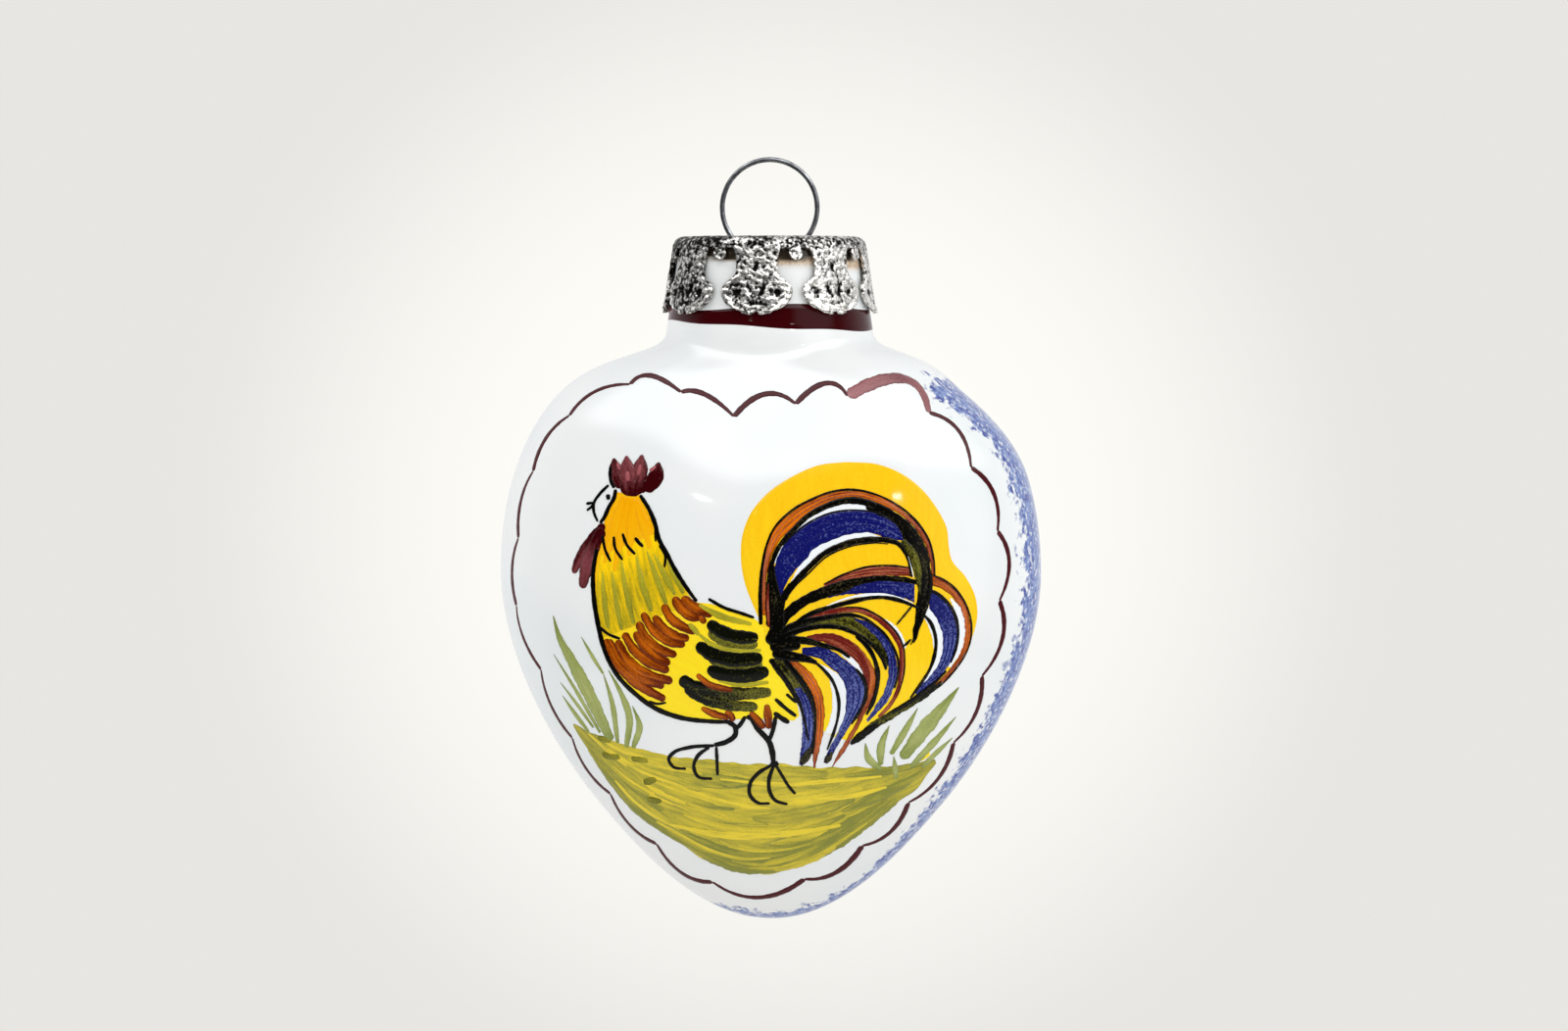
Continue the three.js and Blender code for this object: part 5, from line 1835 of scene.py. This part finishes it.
def wire_route():
    """The right leg from its tip, the loop over the top, and the mirrored left leg, in x and z."""
    loop_z = CAP_TOP_Z + LOOP_ABOVE_CAP
    opening = math.acos(LOOP_ABOVE_CAP / LOOP_RADIUS)
    grip_x = BORE_RADIUS - LEG_CLEARANCE - WIRE_RADIUS
    straight_x = LOOP_RADIUS * math.sin(opening) - LEG_STEP_IN
    straight_top = CAP_TOP_Z - LEG_BEND
    straight_foot = straight_top - LEG_STRAIGHT
    grip_top = straight_foot - LEG_FLARE
    grip_foot = grip_top - LEG_GRIP
    turn = np.linspace(opening - math.pi / 2, 3 * math.pi / 2 - opening, LOOP_POINTS)
    loop = np.stack([LOOP_RADIUS * np.cos(turn), loop_z + LOOP_RADIUS * np.sin(turn)], -1)
    loop_run = np.array([math.cos(opening), math.sin(opening)])
    leg = outline(
        [(grip_x - LEG_TIP_CURL, grip_foot - LEG_TIP_DROP),
         (grip_x - LEG_TIP_CURL / 3, grip_foot - LEG_TIP_DROP * 2 / 3),
         (grip_x, grip_foot - LEG_TIP_DROP / 3), (grip_x, grip_foot)],
        [(grip_x, grip_top), (grip_x, grip_top + LEG_FLARE / 2),
         (straight_x, straight_foot - LEG_FLARE / 2), (straight_x, straight_foot)],
        [(straight_x, straight_top), (straight_x, straight_top + LEG_BEND / 2),
         loop[0] - loop_run * LEG_BEND / 3, loop[0]])
    line = np.concatenate([leg, loop[1:-1], (leg * [-1, 1])[::-1]])
    keep = np.append(True, np.linalg.norm(np.diff(line, axis=0), axis=1) > 1e-6)
    return even_rows(line[keep], WIRE_ROWS)


# %% The wire's tube


def add_wire():
    """A tube: route(s) + radius(s) (cos a N + sin a Y), with N square to the route in its plane."""
    route = wire_route()
    run = unit(np.gradient(route, axis=0))
    spine = xyz(route[:, 0], 0, route[:, 1])
    aside = xyz(run[:, 1], 0, -run[:, 0])
    from_tip = np.linspace(0, 1, WIRE_ROWS)
    from_tip = np.minimum(from_tip, 1 - from_tip) * WIRE_ROWS
    dome = TIP_SHARE + (1 - TIP_SHARE) * round_end(from_tip / TIP_ROWS)
    radius = WIRE_RADIUS * dome[:, None, None]
    turn = full_turn(WIRE_SIDES)[:, None]
    tube = spine[:, None] + radius * (np.cos(turn) * aside[:, None] + np.sin(turn) * np.array([0, 1.0, 0]))
    tips = [range(WIRE_SIDES)[::-1], range((WIRE_ROWS - 1) * WIRE_SIDES, WIRE_ROWS * WIRE_SIDES)]
    faces = [*ring_faces(WIRE_ROWS, WIRE_SIDES), *tips]
    points = tube.reshape(-1, 3)
    if signed_volume(points, faces) < 0:
        faces = [tuple(face)[::-1] for face in faces]
    steel = tarnished(
        "drawn_wire", bright=seen(158, 160, 163), black=seen(100, 101, 104), scale=900.0, black_share=0.02,
        bump=0.02 * MM, roughness=(0.28, 0.42))
    wire = add_piece("sprung_wire", points, faces, steel, "hanger")
    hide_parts("wire_hanger")
    return wire


wire = add_wire()
print("sprung_wire", len(wire.data.vertices), "points")

# %% [markdown]
# ## Stage and light
#
# The ornament hangs free in front of a pale backdrop, over a pale floor that lies below the picture.
# The light is a room: a long soft panel above and in front, whose reflection is the white sheet on the
# upper lobes, a window on the right, and the pale backdrop behind. The side behind the camera is dim,
# as in a real studio, so that it doesn't veil the dark paint. From below comes a fill, as off a white
# table, that lights the lower half and shows in no reflection. Area lamps would give the panel hard
# edges, so it is painted into the world, and only two small lamps are left to make glints.

# %% The floor
FLOOR_Z = -200
FLOOR_RADIUS = 300
FLOOR_COLUMNS = 96
FLOOR_ROWS = 12
FLOOR_MIDDLE = 0.5


def add_floor():
    """A pale disc far under the ornament, as rings from a small middle face out to its edge."""
    turn = full_turn(FLOOR_COLUMNS)
    radius = np.linspace(FLOOR_MIDDLE, FLOOR_RADIUS, FLOOR_ROWS)[:, None]
    grid = xyz(radius * np.cos(turn), radius * np.sin(turn), FLOOR_Z)
    faces = [*ring_faces(FLOOR_ROWS, FLOOR_COLUMNS)[:, ::-1], range(FLOOR_COLUMNS)]
    material, _, shader = new_material("pale_floor", Roughness=0.9)
    shader.inputs["Base Color"].default_value = seen(218, 217, 214)
    floor = add_mesh("pale_floor", grid.reshape(-1, 3), faces, material)


add_floor()
print("floor of radius", FLOOR_RADIUS, "mm at z", FLOOR_Z)

# %% Two small lamps for the glints
GLINT_DISTANCE = 420
GLINTS_AIM_Z = -45
# A glint is its name, azimuth, elevation, width, depth and brightness.
GLINTS = [("left_glint", -14, 18, 15, 5, 44), ("right_glint", 32, 13, 24, 9, 70)]


def add_softbox(name, place, aim, width, depth, brightness):
    """A flat area lamp that looks from one point to another. Its power is brightness pi area."""
    data = bpy.data.lights.new(name, "AREA")
    data.shape = "RECTANGLE"
    data.size = width * MM
    data.size_y = depth * MM
    data.energy = brightness * math.pi * data.size * data.size_y
    lamp = bpy.data.objects.new(name, data)
    bpy.context.scene.collection.objects.link(lamp)
    direction = Vector(aim) - Vector(place)
    lamp.rotation_euler = direction.to_track_quat("-Z", "Y").to_euler()
    lamp.location = Vector(place) * MM
    return data.energy


def towards(azimuth, elevation, distance=1.0):
    """The point at an azimuth from the painted face towards the right, and at an elevation."""
    turn, lift = math.radians(azimuth), math.radians(elevation)
    level = distance * math.cos(lift)
    return level * math.sin(turn), -level * math.cos(turn), distance * math.sin(lift)


middle = Vector((0, 0, GLINTS_AIM_Z))
for name, azimuth, elevation, width, depth, brightness in GLINTS:
    place = middle + Vector(towards(azimuth, elevation, GLINT_DISTANCE))
    power = add_softbox(name, place, middle, width, depth, brightness)
    print(name, round(power, 4), "W")

# %% The levels and places of the room's lights
BACKDROP_MIDDLE = seen(255, 254, 249)
BACKDROP_EDGE = seen(232, 230, 226)
BACKDROP_SPREAD = math.cos(math.radians(13))
BACKDROP_LIGHT = 1.0
BACKDROP_SEEN = 0.85
ROOM_LIGHT = 0.53
ROOM_SEEN = 0.06
PANEL_LIGHT = 1.12
PANEL_SEEN = 3.2
WINDOW_LIGHT = 0.5
WINDOW_SEEN = 1.1
LOW_FILL = 1.0
# The panel's own upward axis leans a little to the right.
PANEL_UP = (0.06, 0, 0.998)
# The window's azimuth and elevation. Directions are flattened before it is looked up, so it is tall.
WINDOW_PLACE = (60, 12)
WINDOW_FLATTENS = (1, 1, 0.5)
# Where a light begins and where it is full, in degrees.
PANEL_FOOT = (25, 35)
PANEL_TOP = (78, 62)
WINDOW_SPREAD = (30, 14)
# The same, as how far a direction points ahead, or up for the fill.
PANEL_END = (0.3, -0.2)
ROOM_TO_BACKDROP = (-0.3, 0.5)
FILL_RISE = (0.05, -0.25)
LAMP_COLOUR = seen(252, 253, 255)

# %% The room as the world
world = bpy.data.worlds.new("studio")
bpy.context.scene.world = world
world.use_nodes = True
tree = world.node_tree
direction = put(tree, "TexCoord").outputs["Generated"]


def along_axis(vector, axis):
    """How far a direction points along an axis, from -1 to 1."""
    return put(tree, "VectorMath", {0: vector, 1: tuple(axis)}, operation="DOT_PRODUCT").outputs["Value"]


def beyond(value, start, full):
    """0 below the sine of an elevation in degrees, and 1 from the sine of another."""
    return ramp(tree, value, math.sin(math.radians(start)), math.sin(math.radians(full)))


ahead = along_axis(direction, -BACK)
raised = along_axis(direction, PANEL_UP)
panel = combine(tree, "MULTIPLY", beyond(raised, *PANEL_FOOT), beyond(raised, *PANEL_TOP))
panel = combine(tree, "MULTIPLY", panel, ramp(tree, ahead, *PANEL_END))
flat = put(tree, "VectorMath", {0: direction, 1: WINDOW_FLATTENS}, operation="MULTIPLY").outputs[0]
flat = put(tree, "VectorMath", {0: flat}, operation="NORMALIZE").outputs[0]
window = beyond(along_axis(flat, towards(*WINDOW_PLACE)), *(90 - angle for angle in WINDOW_SPREAD))
path = put(tree, "LightPath")
shown = path.outputs["Is Camera Ray"]
for ray in ("Is Glossy Ray", "Is Transmission Ray"):
    shown = combine(tree, "MAXIMUM", shown, path.outputs[ray])


def level(lit, seen_level):
    """The brightness that lights the ornament, or that its reflections show."""
    return combine(tree, "MULTIPLY_ADD", shown, seen_level - lit, lit)


room, behind = level(ROOM_LIGHT, ROOM_SEEN), level(BACKDROP_LIGHT, BACKDROP_SEEN)
light = ramp(tree, ahead, *ROOM_TO_BACKDROP, room, behind)
light = combine(tree, "MULTIPLY_ADD", panel, level(PANEL_LIGHT, PANEL_SEEN), light)
light = combine(tree, "MULTIPLY_ADD", window, level(WINDOW_LIGHT, WINDOW_SEEN), light)
from_below = ramp(tree, along_axis(direction, (0, 0, 1)), *FILL_RISE)
light = combine(tree, "MULTIPLY_ADD", from_below, level(LOW_FILL, 0.0), light)
pale = blend_colours(tree, ramp(tree, ahead, BACKDROP_SPREAD, 1.0), BACKDROP_EDGE, BACKDROP_MIDDLE)
to_camera = path.outputs["Is Camera Ray"]
strength = put(tree, "Mix", {0: to_camera, 2: light, 3: 1.0}, data_type="FLOAT").outputs[0]
backdrop = tree.nodes["Background"]
tree.links.new(blend_colours(tree, to_camera, LAMP_COLOUR, pale), backdrop.inputs["Color"])
tree.links.new(strength, backdrop.inputs["Strength"])
bpy.context.scene.view_settings.view_transform = "Standard"
print("world nodes", len(tree.nodes))
